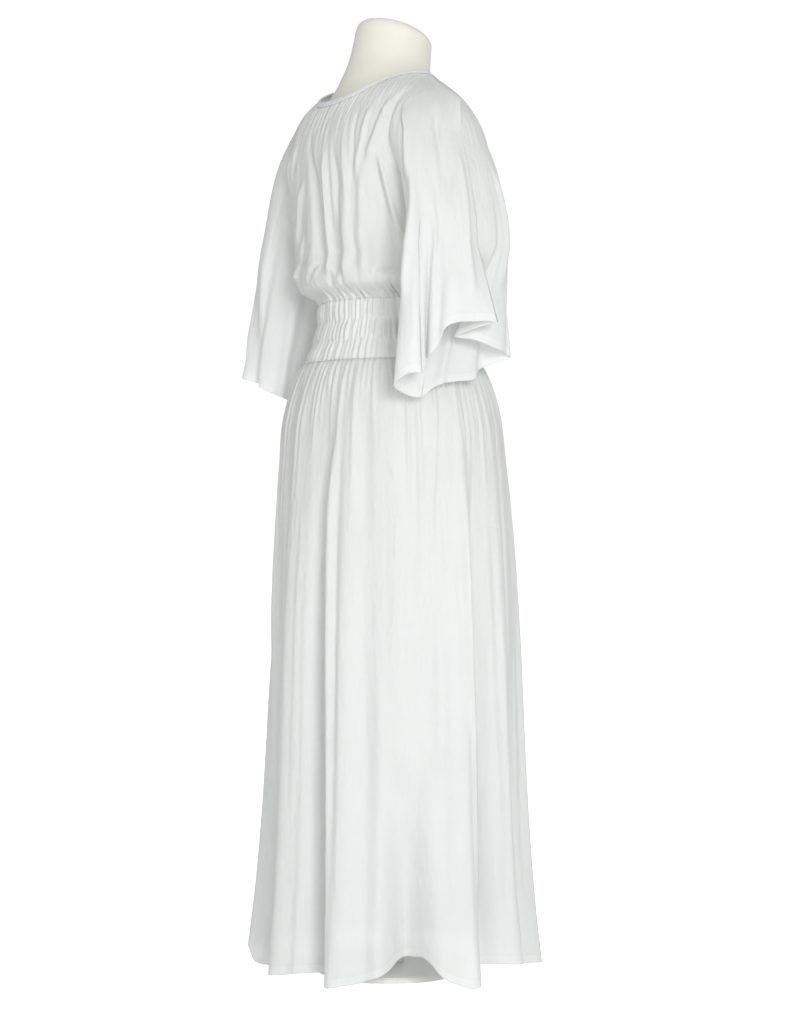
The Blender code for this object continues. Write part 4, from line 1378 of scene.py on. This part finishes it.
@dataclass(frozen=True)
class ClothFinish:
    """Woven cloth that lets some light and what is behind it through."""

    name: str
    light: Colour = (0.915, 0.925, 0.918)
    shade: Colour = (0.845, 0.858, 0.850)
    weave: Weave = Weave.LINEN
    slub: float = 0.55
    roughness: float = 0.92
    sheen: float = 0.15
    cover: float = 0.75
    glow: float = 0.24
    shadow_pass: float = 0.36
    crumple_depth: float = 0.010
    thread_depth: float = 0.0003
    hem_cover: float = 0.80
    has_hem: bool = True

    def build(self, groups: dict[str, bpy.types.NodeTree]) -> bpy.types.Material:
        """Make the material.

        Args:
            groups: The node groups by name.

        Returns:
            The material.
        """
        made, tree, shader = new_material(self.name)
        out = tree.nodes["Material Output"]
        cut = add_node(tree, "ShaderNodeAttribute", attribute_name="cut", attribute_type="GEOMETRY")
        threads = add_node(tree, "ShaderNodeGroup", node_tree=groups["weave"])
        threads.inputs["Pitch"].default_value = self.weave.value
        threads.inputs["Slub"].default_value = self.slub
        link(tree, cut.outputs["Vector"], threads.inputs["Cut"])
        folds = add_node(tree, "ShaderNodeGroup", node_tree=groups["crumple"])
        link(tree, cut.outputs["Vector"], folds.inputs["Cut"])
        sewn = add_node(tree, "ShaderNodeGroup", node_tree=groups["stitch"])
        link(tree, cut.outputs["Vector"], sewn.inputs["Cut"])
        # The stitch tone adds painted shade beside each stitch line to the weave's tone.
        tone = sum_of(tree, "ADD", threads.outputs["Tone"], sewn.outputs["Tone"])
        colour_between(tree, self.shade, self.light, tone)
        shader.inputs["Roughness"].default_value = self.roughness
        shader.inputs["Sheen Weight"].default_value = self.sheen
        shader.inputs["Sheen Roughness"].default_value = 0.5
        shader.inputs["Specular IOR Level"].default_value = 0.2
        cover = sum_of(tree, "MULTIPLY_ADD", threads.outputs["Dense"], 0.10, self.cover - 0.05)
        if self.has_hem:
            parts = add_node(tree, "ShaderNodeSeparateXYZ")
            link(tree, cut.outputs["Vector"], parts.inputs[0])
            hem = sum_of(tree, "LESS_THAN", parts.outputs["Z"], HEM_WIDTH)
            cover = sum_of(tree, "MULTIPLY_ADD", hem, self.hem_cover - self.cover, cover)
        link(tree, cover, shader.inputs["Alpha"])
        lumps = relief(tree, folds.outputs["Height"], 0.5, self.crumple_depth)
        woven = sum_of(tree, "MULTIPLY_ADD", sewn.outputs["Height"], 0.5, threads.outputs["Height"])
        grain = relief(tree, woven, 0.25, self.thread_depth)
        link(tree, lumps.outputs["Normal"], grain.inputs["Normal"])
        link(tree, grain.outputs["Normal"], shader.inputs["Normal"])
        through = add_node(tree, "ShaderNodeBsdfTranslucent")
        through.inputs["Color"].default_value = (*self.light, 1)
        mix = add_node(tree, "ShaderNodeMixShader")
        mix.inputs[0].default_value = self.glow
        link(tree, shader.outputs[0], mix.inputs[1])
        link(tree, through.outputs[0], mix.inputs[2])
        path = add_node(tree, "ShaderNodeLightPath")
        open_cloth = add_node(tree, "ShaderNodeBsdfTransparent")
        open_cloth.inputs["Color"].default_value = (self.shadow_pass, self.shadow_pass, self.shadow_pass, 1)
        choice = add_node(tree, "ShaderNodeMixShader")
        link(tree, path.outputs["Is Shadow Ray"], choice.inputs[0])
        link(tree, mix.outputs[0], choice.inputs[1])
        link(tree, open_cloth.outputs[0], choice.inputs[2])
        link(tree, choice.outputs[0], out.inputs["Surface"])
        return made


@dataclass(frozen=True)
class JerseyFinish:
    """Fine cream knit drawn smooth over the form."""

    name: str = "form_jersey"
    light: Colour = (0.80, 0.80, 0.71)
    shade: Colour = (0.74, 0.74, 0.65)
    roughness: float = 0.62

    def build(self) -> bpy.types.Material:
        """Make the material.

        Returns:
            The material.
        """
        made, tree, shader = new_material(self.name)
        place = add_node(tree, "ShaderNodeTexCoord").outputs["Object"]
        cloud = noise(tree, place, (9.0, 9.0, 9.0), 4.0)
        ribs = noise(tree, place, (500.0, 500.0, 1400.0), 2.0)
        tone = sum_of(tree, "MULTIPLY_ADD", ribs, 0.4, sum_of(tree, "MULTIPLY", cloud, 0.8))
        colour_between(tree, self.shade, self.light, tone)
        rough = sum_of(tree, "MULTIPLY_ADD", cloud, 0.16, self.roughness - 0.08)
        link(tree, rough, shader.inputs["Roughness"])
        shader.inputs["Sheen Weight"].default_value = 0.15
        link(tree, relief(tree, ribs, 0.15, 0.0003).outputs["Normal"], shader.inputs["Normal"])
        return made


@dataclass(frozen=True)
class PaintFinish:
    """Satin white paint on steel, a little worn and dusty."""

    name: str = "stand_paint"
    light: Colour = (0.84, 0.84, 0.82)
    shade: Colour = (0.76, 0.76, 0.74)
    roughness: float = 0.38

    def build(self) -> bpy.types.Material:
        """Make the material.

        Returns:
            The material.
        """
        made, tree, shader = new_material(self.name)
        place = add_node(tree, "ShaderNodeTexCoord").outputs["Object"]
        cloud = noise(tree, place, (22.0, 22.0, 22.0), 5.0)
        peel = noise(tree, place, (420.0, 420.0, 420.0), 2.0)
        colour_between(tree, self.shade, self.light, cloud)
        link(tree, sum_of(tree, "MULTIPLY_ADD", cloud, 0.2, self.roughness - 0.1), shader.inputs["Roughness"])
        link(tree, relief(tree, peel, 0.12, 0.0004).outputs["Normal"], shader.inputs["Normal"])
        return made


# Sub-assemblies


def finish_piece(
    made: bpy.types.Object, material: bpy.types.Material, nodes: tuple[str, ...]
) -> None:
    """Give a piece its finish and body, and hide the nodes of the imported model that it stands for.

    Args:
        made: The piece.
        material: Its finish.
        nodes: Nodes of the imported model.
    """
    made.data.materials.clear()
    made.data.materials.append(material)
    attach(made, "root")
    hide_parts(*nodes)
    log.info("%s: %d faces, half its area %.5f", made.name, len(made.data.polygons), area_of(made))


def area_of(made: bpy.types.Object) -> float:
    """Half the area of a closed shell, which is the area of its cloth when it is thin."""
    return sum(face.area for face in made.data.polygons) / 2


@dataclass
class Skirt:
    """Two gathered skirt panels with a double turned hem."""

    shape: SkirtShape
    columns: int = 288
    rows: int = 132
    hem_rows: int = 5
    fold_step: float = 0.0012

    def heights(self) -> Array:
        """Place the rows, closer near the gathers and the hem.

        Returns:
            The height of each row, from the top down.
        """
        top, hem = self.shape.skirt_top, self.shape.hem
        hem_top = hem + HEM_WIDTH
        body = self.rows - self.hem_rows - 2
        share = np.linspace(0.0, 1.0, body)
        eased = 0.62 * share + 0.38 * share**2
        main = top + (hem_top + self.fold_step - top) * eased
        return np.concatenate([main, [hem_top], np.linspace(hem_top - self.fold_step, hem, self.hem_rows)])

    def panel(self, front: bool) -> ClothPanel:
        """One skirt panel.

        Args:
            front: Whether this is the front panel.

        Returns:
            Its middle surface.
        """
        angles = np.linspace(0.0, -180.0 if front else 180.0, self.columns + 1)
        heights = self.heights()
        grid = self.shape.surface(angles[None, :], heights[:, None])
        hem = distance_to_last_row(grid)
        marks = cut_marks(grid, self.columns // 2, (0.0, 1.0 if front else 0.0), hem)
        extra = np.where(heights < self.shape.hem + HEM_WIDTH - self.fold_step / 2, HEM_EXTRA, 0.0)
        panel = ClothPanel("skirt_front_linen" if front else "skirt_back_linen")
        panel.add_grid(grid, marks, extra[:, None] * np.ones(grid.shape[1]), front)
        return panel


@dataclass
class Waistband:
    """Two halves of the shirred waistband."""

    shape: SkirtShape
    columns: int = 288
    rows: int = 42
    stitch_spread: float = 2.5

    def panel(self, front: bool) -> ClothPanel:
        """One half of the waistband.

        Args:
            front: Whether this is the front half.

        Returns:
            Its middle surface.
        """
        angles = np.linspace(0.0, -180.0 if front else 180.0, self.columns + 1)
        heights = np.linspace(self.shape.waist_top, self.shape.skirt_top, self.rows + 1)
        grid = self.shape.surface(angles[None, :], heights[:, None])
        rows = (self.shape.waist_top - heights) / self.shape.elastic_step
        nearest = np.clip(np.round(rows), 1, self.shape.elastic_rows - 2)
        away = np.abs(rows - nearest) * self.shape.elastic_step
        sewn = STITCH_LINE + self.stitch_spread * away[:, None] * np.ones(len(angles))
        marks = cut_marks(grid, self.columns // 2, (0.0, 3.0 if front else 2.0), sewn)
        panel = ClothPanel("waistband_front_linen" if front else "waistband_back_linen")
        panel.add_grid(grid, marks, np.zeros(grid.shape[:2]), front)
        return panel


@dataclass
class Bodice:
    """Two bodice panels with the sleeves cut in one."""

    shape: BodiceShape
    sleeve_steps: int = 84
    torso_steps: int = 288
    yoke_rows: int = 56
    sleeve_rows: int = 46
    torso_rows: int = 28
    row_ease: float = 1.15
    hem_slack: float = 0.0004

    def columns(self) -> Array:
        """Place the columns of the whole panel.

        Returns:
            The columns from one sleeve hem to the other.
        """
        first = self.shape.sleeve_columns
        last = self.shape.last_column
        right = np.linspace(0, first, self.sleeve_steps + 1)
        torso = np.linspace(first, last - first, self.torso_steps + 1)
        left = np.linspace(last - first, last, self.sleeve_steps + 1)
        return np.concatenate([right, torso[1:], left[1:]])

    def panel(self, front: bool) -> ClothPanel:
        """One bodice panel.

        Args:
            front: Whether this is the front panel.

        Returns:
            Its middle surface.
        """
        shape = self.shape
        panel = ClothPanel("bodice_front_linen" if front else "bodice_back_linen")
        columns = self.columns()
        levels = np.linspace(0.0, 1.0, self.yoke_rows + 1) ** self.row_ease
        grid = shape.raised(front, shape.yoke_grid(front, columns, levels), columns, levels)
        start = (0.0, 5.0 if front else 4.0)
        marks = cut_marks(grid, len(columns) // 2, start, np.ones(grid.shape[:2]))
        numbers = panel.add_grid(grid, marks, np.zeros(grid.shape[:2]), front)
        low = marks[-1]
        first, last = self.sleeve_steps, self.sleeve_steps + self.torso_steps
        levels = np.linspace(1.0, 2.0, self.torso_rows + 1)
        part = slice(first, last + 1)
        torso = shape.raised(front, shape.torso_grid(front, columns[part], levels), columns[part], levels)
        torso[0] = grid[-1, part]
        marks = self.joined(cut_marks(torso, 0, (0.0, 0.0), np.ones(torso.shape[:2])), low[part])
        panel.add_grid(torso, marks, np.zeros(torso.shape[:2]), front, numbers[-1, part])
        for side, part in ((-1, slice(0, first + 1)), (1, slice(last, len(columns)))):
            levels = self.sleeve_levels()
            sleeve = shape.sleeve_grid(front, columns[part], levels, side)
            sleeve = shape.raised(front, sleeve, columns[part], levels)
            sleeve[0] = grid[-1, part]
            hem = distance_to_last_row(sleeve)
            marks = self.joined(cut_marks(sleeve, 0, (0.0, 0.0), hem), low[part])
            extra = np.where(hem < HEM_WIDTH - self.hem_slack, HEM_EXTRA, 0.0)
            panel.add_grid(sleeve, marks, extra, front, numbers[-1, part])
        return panel

    def joined(self, marks: Array, low: Array) -> Array:
        """Marks of a lower grid, moved so that its first row continues the yoke's last.

        Args:
            marks: Marks of the lower grid.
            low: Marks of the yoke's last row over the same columns.

        Returns:
            The moved marks.
        """
        moved = marks.copy()
        moved[..., 0] = low[:, 0]
        moved[..., 1] += low[:, 1]
        return moved

    def sleeve_levels(self) -> Array:
        """Levels of the sleeve rows, closer at the hem."""
        share = np.linspace(0.0, 1.0, self.sleeve_rows + 1)
        return 1 + 1.45 * share - 0.45 * share**2


@dataclass
class NeckBinding:
    """A folded strip that wraps over the neckline edge all round."""

    shape: BodiceShape
    steps: int = 150
    height: float = 0.0078
    half_thick: float = 0.0010
    wall: float = 0.0006
    rows_below_fold: tuple[float, ...] = (-0.0012, 0.0015, 0.0045)

    def edge(self) -> tuple[Array, Array]:
        """The neckline and the direction in which the band stands.

        Returns:
            Points and unit directions, once round.
        """
        inner = self.shape.shoulder_columns
        columns = np.linspace(inner, self.shape.last_column - inner, self.steps + 1)
        rows = []
        for front in (False, True):
            levels = np.array([0.0, 0.12])
            grid = self.shape.raised(front, self.shape.yoke_grid(front, columns, levels), columns, levels)
            rows.append((grid[0], unit(grid[0] - grid[1])))
        (back, back_way), (front_edge, front_way) = rows
        points = np.concatenate([back, front_edge[::-1][1:-1]])
        ways = np.concatenate([back_way, front_way[::-1][1:-1]])
        for _ in range(6):
            ways = (np.roll(ways, 1, 0) + 2 * ways + np.roll(ways, -1, 0)) / 4
        return points, unit(ways)

    def panel(self) -> ClothPanel:
        """Build the binding as a folded strip.

        Returns:
            Its middle surface.
        """
        points, ways = self.edge()
        along = unit(np.roll(points, -1, 0) - np.roll(points, 1, 0))
        out = unit(np.cross(ways, along))
        number = np.arange(len(points))
        ripple = 0.00035 * np.sin(number * 1.9) + 0.0003 * np.sin(number * 0.83 + 1.0)
        turns = np.linspace(0, math.pi, 9)
        thick = self.half_thick
        flat = [(lift, thick) for lift in self.rows_below_fold]
        fold = [(self.height - thick + thick * math.sin(t), thick * math.cos(t)) for t in turns]
        rows = flat + fold + [(lift, -side) for lift, side in flat[::-1]]
        grid = np.array(
            [points + ways * (lift + ripple[:, None] * (lift > 0)) + out * side for lift, side in rows]
        )
        grid = np.concatenate([grid, grid[:, :1]], axis=1)
        marks = cut_marks(grid, 0, (0.0, 6.0), np.ones(grid.shape[:2]))
        panel = ClothPanel("neck_binding_linen", self.wall)
        panel.add_grid(grid, marks, np.zeros(grid.shape[:2]), True)
        return panel


@dataclass
class NeckPlacket:
    """Two bound strips on either side of the slit at the centre back of the neck."""

    shape: BodiceShape
    width: float = 0.0052
    slit: float = 0.0022
    out: float = 0.0020
    crown: float = 0.0009
    wall: float = 0.0006
    end_level: float = 0.193
    stitch_share: float = 0.8
    columns: int = 9
    rows: int = 30

    def strip(self, side: int, panel: ClothPanel) -> None:
        """Add one strip to the panel.

        Args:
            side: -1 for the right strip, 1 for the left one.
            panel: The piece that it goes into.
        """
        middle = self.shape.last_column / 2
        levels = np.linspace(0.006, self.end_level, self.rows)
        fine = np.array([middle - 0.5, middle, middle + 0.5])
        base = self.shape.raised(False, self.shape.yoke_grid(False, fine, levels), fine, levels)
        centre = base[:, 1]
        across = unit(base[:, 2] - base[:, 0])
        normal = unit(np.cross(np.gradient(centre, axis=0), across))
        share = np.linspace(0.0, 1.0, self.columns)
        inner = self.slit / 2 * (1 - 0.7 * rise(0.75, 1.0, np.linspace(0, 1, self.rows)))
        place = side * (inner[:, None] + share * (self.width - inner)[:, None])
        height = self.out * (0.2 + 0.8 * rise(0.0, 0.25, share)) + self.crown * np.sin(math.pi * share) ** 0.6
        grid = centre[:, None] + across[:, None] * place[..., None] + normal[:, None] * height[None, :, None]
        from_stitches = np.abs(share - self.stitch_share) * self.width * np.ones((self.rows, 1))
        marks = cut_marks(grid, 0, (0.0, 7.0), STITCH_LINE + from_stitches)
        panel.add_grid(grid, marks, np.zeros(grid.shape[:2]), side < 0)

    def panel(self) -> ClothPanel:
        """Build both strips as one piece.

        Returns:
            Its middle surface.
        """
        panel = ClothPanel("neck_placket_linen", self.wall)
        for side in (-1, 1):
            self.strip(side, panel)
        return panel


@dataclass
class DressForm:
    """Smooth limbless form with a domed neck cap."""

    sides: int = 120
    rows: int = 150
    # Height, half width, half depth, middle y and forward tilt from the hips up
    rings: tuple[tuple[float, float, float, float, float], ...] = (
        (0.7300, 0.150, 0.104, 0.012, 0.0),
        (0.7340, 0.158, 0.111, 0.012, 0.0),
        (0.7450, 0.163, 0.115, 0.012, 0.0),
        (0.8000, 0.167, 0.118, 0.012, 0.0),
        (0.8800, 0.159, 0.112, 0.008, 0.0),
        (0.9500, 0.140, 0.100, 0.004, 0.0),
        (1.0360, 0.1235, 0.098, 0.000, 0.0),
        (1.0900, 0.129, 0.098, -0.003, 0.0),
        (1.1550, 0.144, 0.108, -0.008, 0.0),
        (1.2200, 0.154, 0.104, 0.000, 0.0),
        (1.2700, 0.166, 0.098, 0.008, 0.0),
        (1.3120, 0.171, 0.087, 0.012, 0.0),
        (1.3410, 0.160, 0.079, 0.014, 0.0),
        (1.3620, 0.138, 0.073, 0.015, 0.0),
        (1.3780, 0.115, 0.070, 0.016, 0.0),
        (1.3910, 0.094, 0.068, 0.014, 0.0),
        (1.4060, 0.077, 0.068, 0.010, 0.02),
        (1.4300, 0.065, 0.065, 0.003, 0.06),
        (1.4600, 0.061, 0.062, -0.003, 0.14),
        (1.4730, 0.060, 0.060, -0.005, 0.22),
        (1.4820, 0.054, 0.054, -0.004, 0.25),
        (1.4865, 0.043, 0.043, -0.003, 0.26),
        (1.4890, 0.028, 0.028, -0.003, 0.26),
        (1.4898, 0.011, 0.011, -0.003, 0.26),
    )

    def build(self) -> None:
        """Make the form and cover it."""
        number = [float(n) for n in range(len(self.rings))]
        at = np.linspace(0, len(self.rings) - 1, self.rows)
        z, side, depth, middle, tilt = (
            smooth_value(number, [ring[axis] for ring in self.rings], at) for axis in range(5)
        )
        turn = np.linspace(0, 2 * math.pi, self.sides, endpoint=False)
        x = side[:, None] * np.cos(turn)
        y = depth[:, None] * np.sin(turn)
        grid = np.stack([x, middle[:, None] + y, z[:, None] + tilt[:, None] * y], axis=-1)
        numbers = np.arange(self.rows * self.sides).reshape(self.rows, self.sides)
        following = np.roll(numbers, -1, axis=1)
        corners = [numbers[:-1], following[:-1], following[1:], numbers[1:]]
        faces = np.stack(corners, axis=-1).reshape(-1, 4).tolist()
        faces.append(numbers[0][::-1].tolist())
        faces.append(numbers[-1].tolist())
        made = new_object("form_body", grid.reshape(-1, 3), faces)
        finish_piece(made, JerseyFinish().build(), ("dress_form",))


@dataclass
class Studio:
    """Floor, soft lights and the camera."""

    azimuth: float = 235.0
    height: float = 0.730
    distance: float = 3.2
    lens: float = 71.64
    shift: float = 0.0138

    def aim(self, made: bpy.types.Object, target: Vector) -> None:
        """Turn an object's -Z axis to a point."""
        made.rotation_euler = (target - made.location).to_track_quat("-Z", "Y").to_euler()

    def build_camera(self) -> None:
        """Put the camera at the photograph's viewing angle."""
        data = bpy.data.cameras.new("camera")
        data.sensor_fit = "AUTO"
        data.sensor_width = 36.0
        data.lens = self.lens
        data.shift_x = self.shift
        turn = math.radians(self.azimuth)
        camera = bpy.data.objects.new("camera", data)
        camera.location = (self.distance * math.sin(turn), -self.distance * math.cos(turn), self.height)
        bpy.context.collection.objects.link(camera)
        self.aim(camera, Vector((0, 0, self.height)))
        bpy.context.scene.camera = camera

    def build_light(self, name: str, place: tuple[float, float, float], size: float, power: float) -> None:
        """Add one soft area light.

        Args:
            name: Its name.
            place: Where it stands.
            size: Width of the light.
            power: Watts.
        """
        data = bpy.data.lights.new(name, "AREA")
        data.shape = "SQUARE"
        data.size = size
        data.energy = power
        lamp = bpy.data.objects.new(name, data)
        lamp.location = place
        bpy.context.collection.objects.link(lamp)
        self.aim(lamp, Vector((0, 0, 0.8)))

    def build_world(self, strength: float) -> None:
        """Light the studio evenly and show it white behind the object.

        Args:
            strength: Strength of the light that falls on the object.
        """
        world = bpy.data.worlds.new("studio")
        world.use_nodes = True
        tree = world.node_tree
        tree.nodes.clear()
        path = add_node(tree, "ShaderNodeLightPath")
        level = add_node(tree, "ShaderNodeMapRange")
        level.inputs["To Min"].default_value = strength
        level.inputs["To Max"].default_value = 1.05
        link(tree, path.outputs["Is Camera Ray"], level.inputs["Value"])
        sky = add_node(tree, "ShaderNodeBackground")
        sky.inputs["Color"].default_value = (1.0, 1.0, 1.0, 1.0)
        link(tree, level.outputs[0], sky.inputs["Strength"])
        out = add_node(tree, "ShaderNodeOutputWorld")
        link(tree, sky.outputs[0], out.inputs["Surface"])
        bpy.context.scene.world = world

    def build_floor(self) -> None:
        """Lay the pale floor."""
        size = 14.0
        corners = np.array([(-size, -size, 0), (size, -size, 0), (size, size, 0), (-size, size, 0)], float)
        floor = new_object("floor", corners, [[0, 1, 2, 3]], False)
        made, tree, shader = new_material("pale_floor")
        place = add_node(tree, "ShaderNodeTexCoord").outputs["Object"]
        cloud = noise(tree, place, (2.0, 2.0, 2.0), 3.0)
        colour_between(tree, (0.93, 0.93, 0.93), (0.97, 0.97, 0.97), cloud)
        shader.inputs["Roughness"].default_value = 0.8
        shader.inputs["Emission Color"].default_value = (1, 1, 1, 1)
        path = add_node(tree, "ShaderNodeLightPath")
        glow = sum_of(tree, "MULTIPLY_ADD", path.outputs["Is Camera Ray"], 0.55, 0.20)
        link(tree, glow, shader.inputs["Emission Strength"])
        floor.data.materials.append(made)

    def build(self) -> None:
        """Set up the studio."""
        self.build_camera()
        self.build_world(0.49)
        self.build_light("key", (-3.3, 1.3, 1.5), 1.0, 61.0)
        self.build_light("fill", (-0.9, 3.0, 1.6), 1.6, 9.0)
        self.build_light("front", (2.8, -1.95, 1.5), 1.6, 26.0)
        self.build_floor()
        bpy.context.scene.view_settings.view_transform = "Standard"


def cloth_finishes() -> dict[str, bpy.types.Material]:
    """Make the cloth finishes.

    Returns:
        Each material by the part that wears it.
    """
    groups = {"weave": build_weave_group(), "crumple": build_crumple_group(), "stitch": build_stitch_group()}
    linen = ClothFinish("white_linen")
    # The waistband's linen is denser, so less shows through it. Its colours are lighter than the panel
    # linen's: painted light on the waist, which sits in shade under its puckers and the sleeve.
    shirred = ClothFinish(
        "shirred_linen_painted_light",
        light=(0.925, 0.935, 0.926),
        shade=(0.866, 0.878, 0.868),
        cover=0.80,
        glow=0.20,
        shadow_pass=0.44,
        has_hem=False,
    )
    tape = ClothFinish("linen_tape", weave=Weave.TAPE, slub=0.3, cover=0.93, has_hem=False)
    return {"panel": linen.build(groups), "waistband": shirred.build(groups), "neck": tape.build(groups)}


@dataclass
class SewnPanels:
    """Bodice, waistband and skirt, with normals shared at their seams."""

    skirt: SkirtShape
    bodice: BodiceShape
    finishes: dict[str, bpy.types.Material]

    def panels(self) -> dict[str, ClothPanel]:
        """Build the six panels.

        Returns:
            Each panel by the node that it stands for.
        """
        bodice, band, skirt = Bodice(self.bodice), Waistband(self.skirt), Skirt(self.skirt)
        return {
            "bodice_back": bodice.panel(False),
            "bodice_front": bodice.panel(True),
            "waistband_back": band.panel(False),
            "waistband_front": band.panel(True),
            "skirt_back": skirt.panel(False),
            "skirt_front": skirt.panel(True),
        }

    def build(self) -> None:
        """Build and dress the panels; each shell carries its cut marks."""
        panels = self.panels()
        for (node, panel), normal in zip(panels.items(), shared_normals(list(panels.values()))):
            made = shell(panel, normal)
            finish = self.finishes["waistband" if node.startswith("waistband") else "panel"]
            finish_piece(made, finish, (node,))
            if node == "skirt_back":
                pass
            elif node == "skirt_front":
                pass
            elif node.startswith("waistband"):
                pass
            else:
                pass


@dataclass
class NeckEdge:
    """Neck binding and bound slit."""

    bodice: BodiceShape
    finish: bpy.types.Material

    def build(self) -> None:
        """Build and dress both pieces; each shell carries its cut marks."""
        binding = self.piece("neck_binding", NeckBinding(self.bodice).panel())
        placket = self.piece("neck_placket", NeckPlacket(self.bodice).panel())

    def piece(self, node: str, panel: ClothPanel) -> bpy.types.Object:
        """Close and finish one strip.

        Args:
            node: Node that it stands for.
            panel: Its middle surface.

        Returns:
            The piece.
        """
        made = shell(panel, shared_normals([panel])[0])
        finish_piece(made, self.finish, (node,))
        return made


@dataclass(frozen=True)
class Stand:
    """Pole and foot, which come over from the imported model."""

    nodes: tuple[str, ...] = ("stand_pole", "stand_foot")

    def paint(self) -> None:
        """Give both their paint."""
        paint = PaintFinish().build()
        for node in self.nodes:
            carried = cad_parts[node]
            carried.data.materials.clear()
            carried.data.materials.append(paint)
            log.info("%s: painted", node)


def main() -> None:
    """Build the scene."""
    logging.basicConfig(level=logging.INFO, format="%(message)s")
    finishes = cloth_finishes()
    skirt_shape = SkirtShape()
    bodice_shape = BodiceShape(skirt_shape)
    DressForm().build()
    SewnPanels(skirt_shape, bodice_shape, finishes).build()
    NeckEdge(bodice_shape, finishes["neck"]).build()
    Stand().paint()
    Studio().build()
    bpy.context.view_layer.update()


if __name__ == "__main__":
    main()
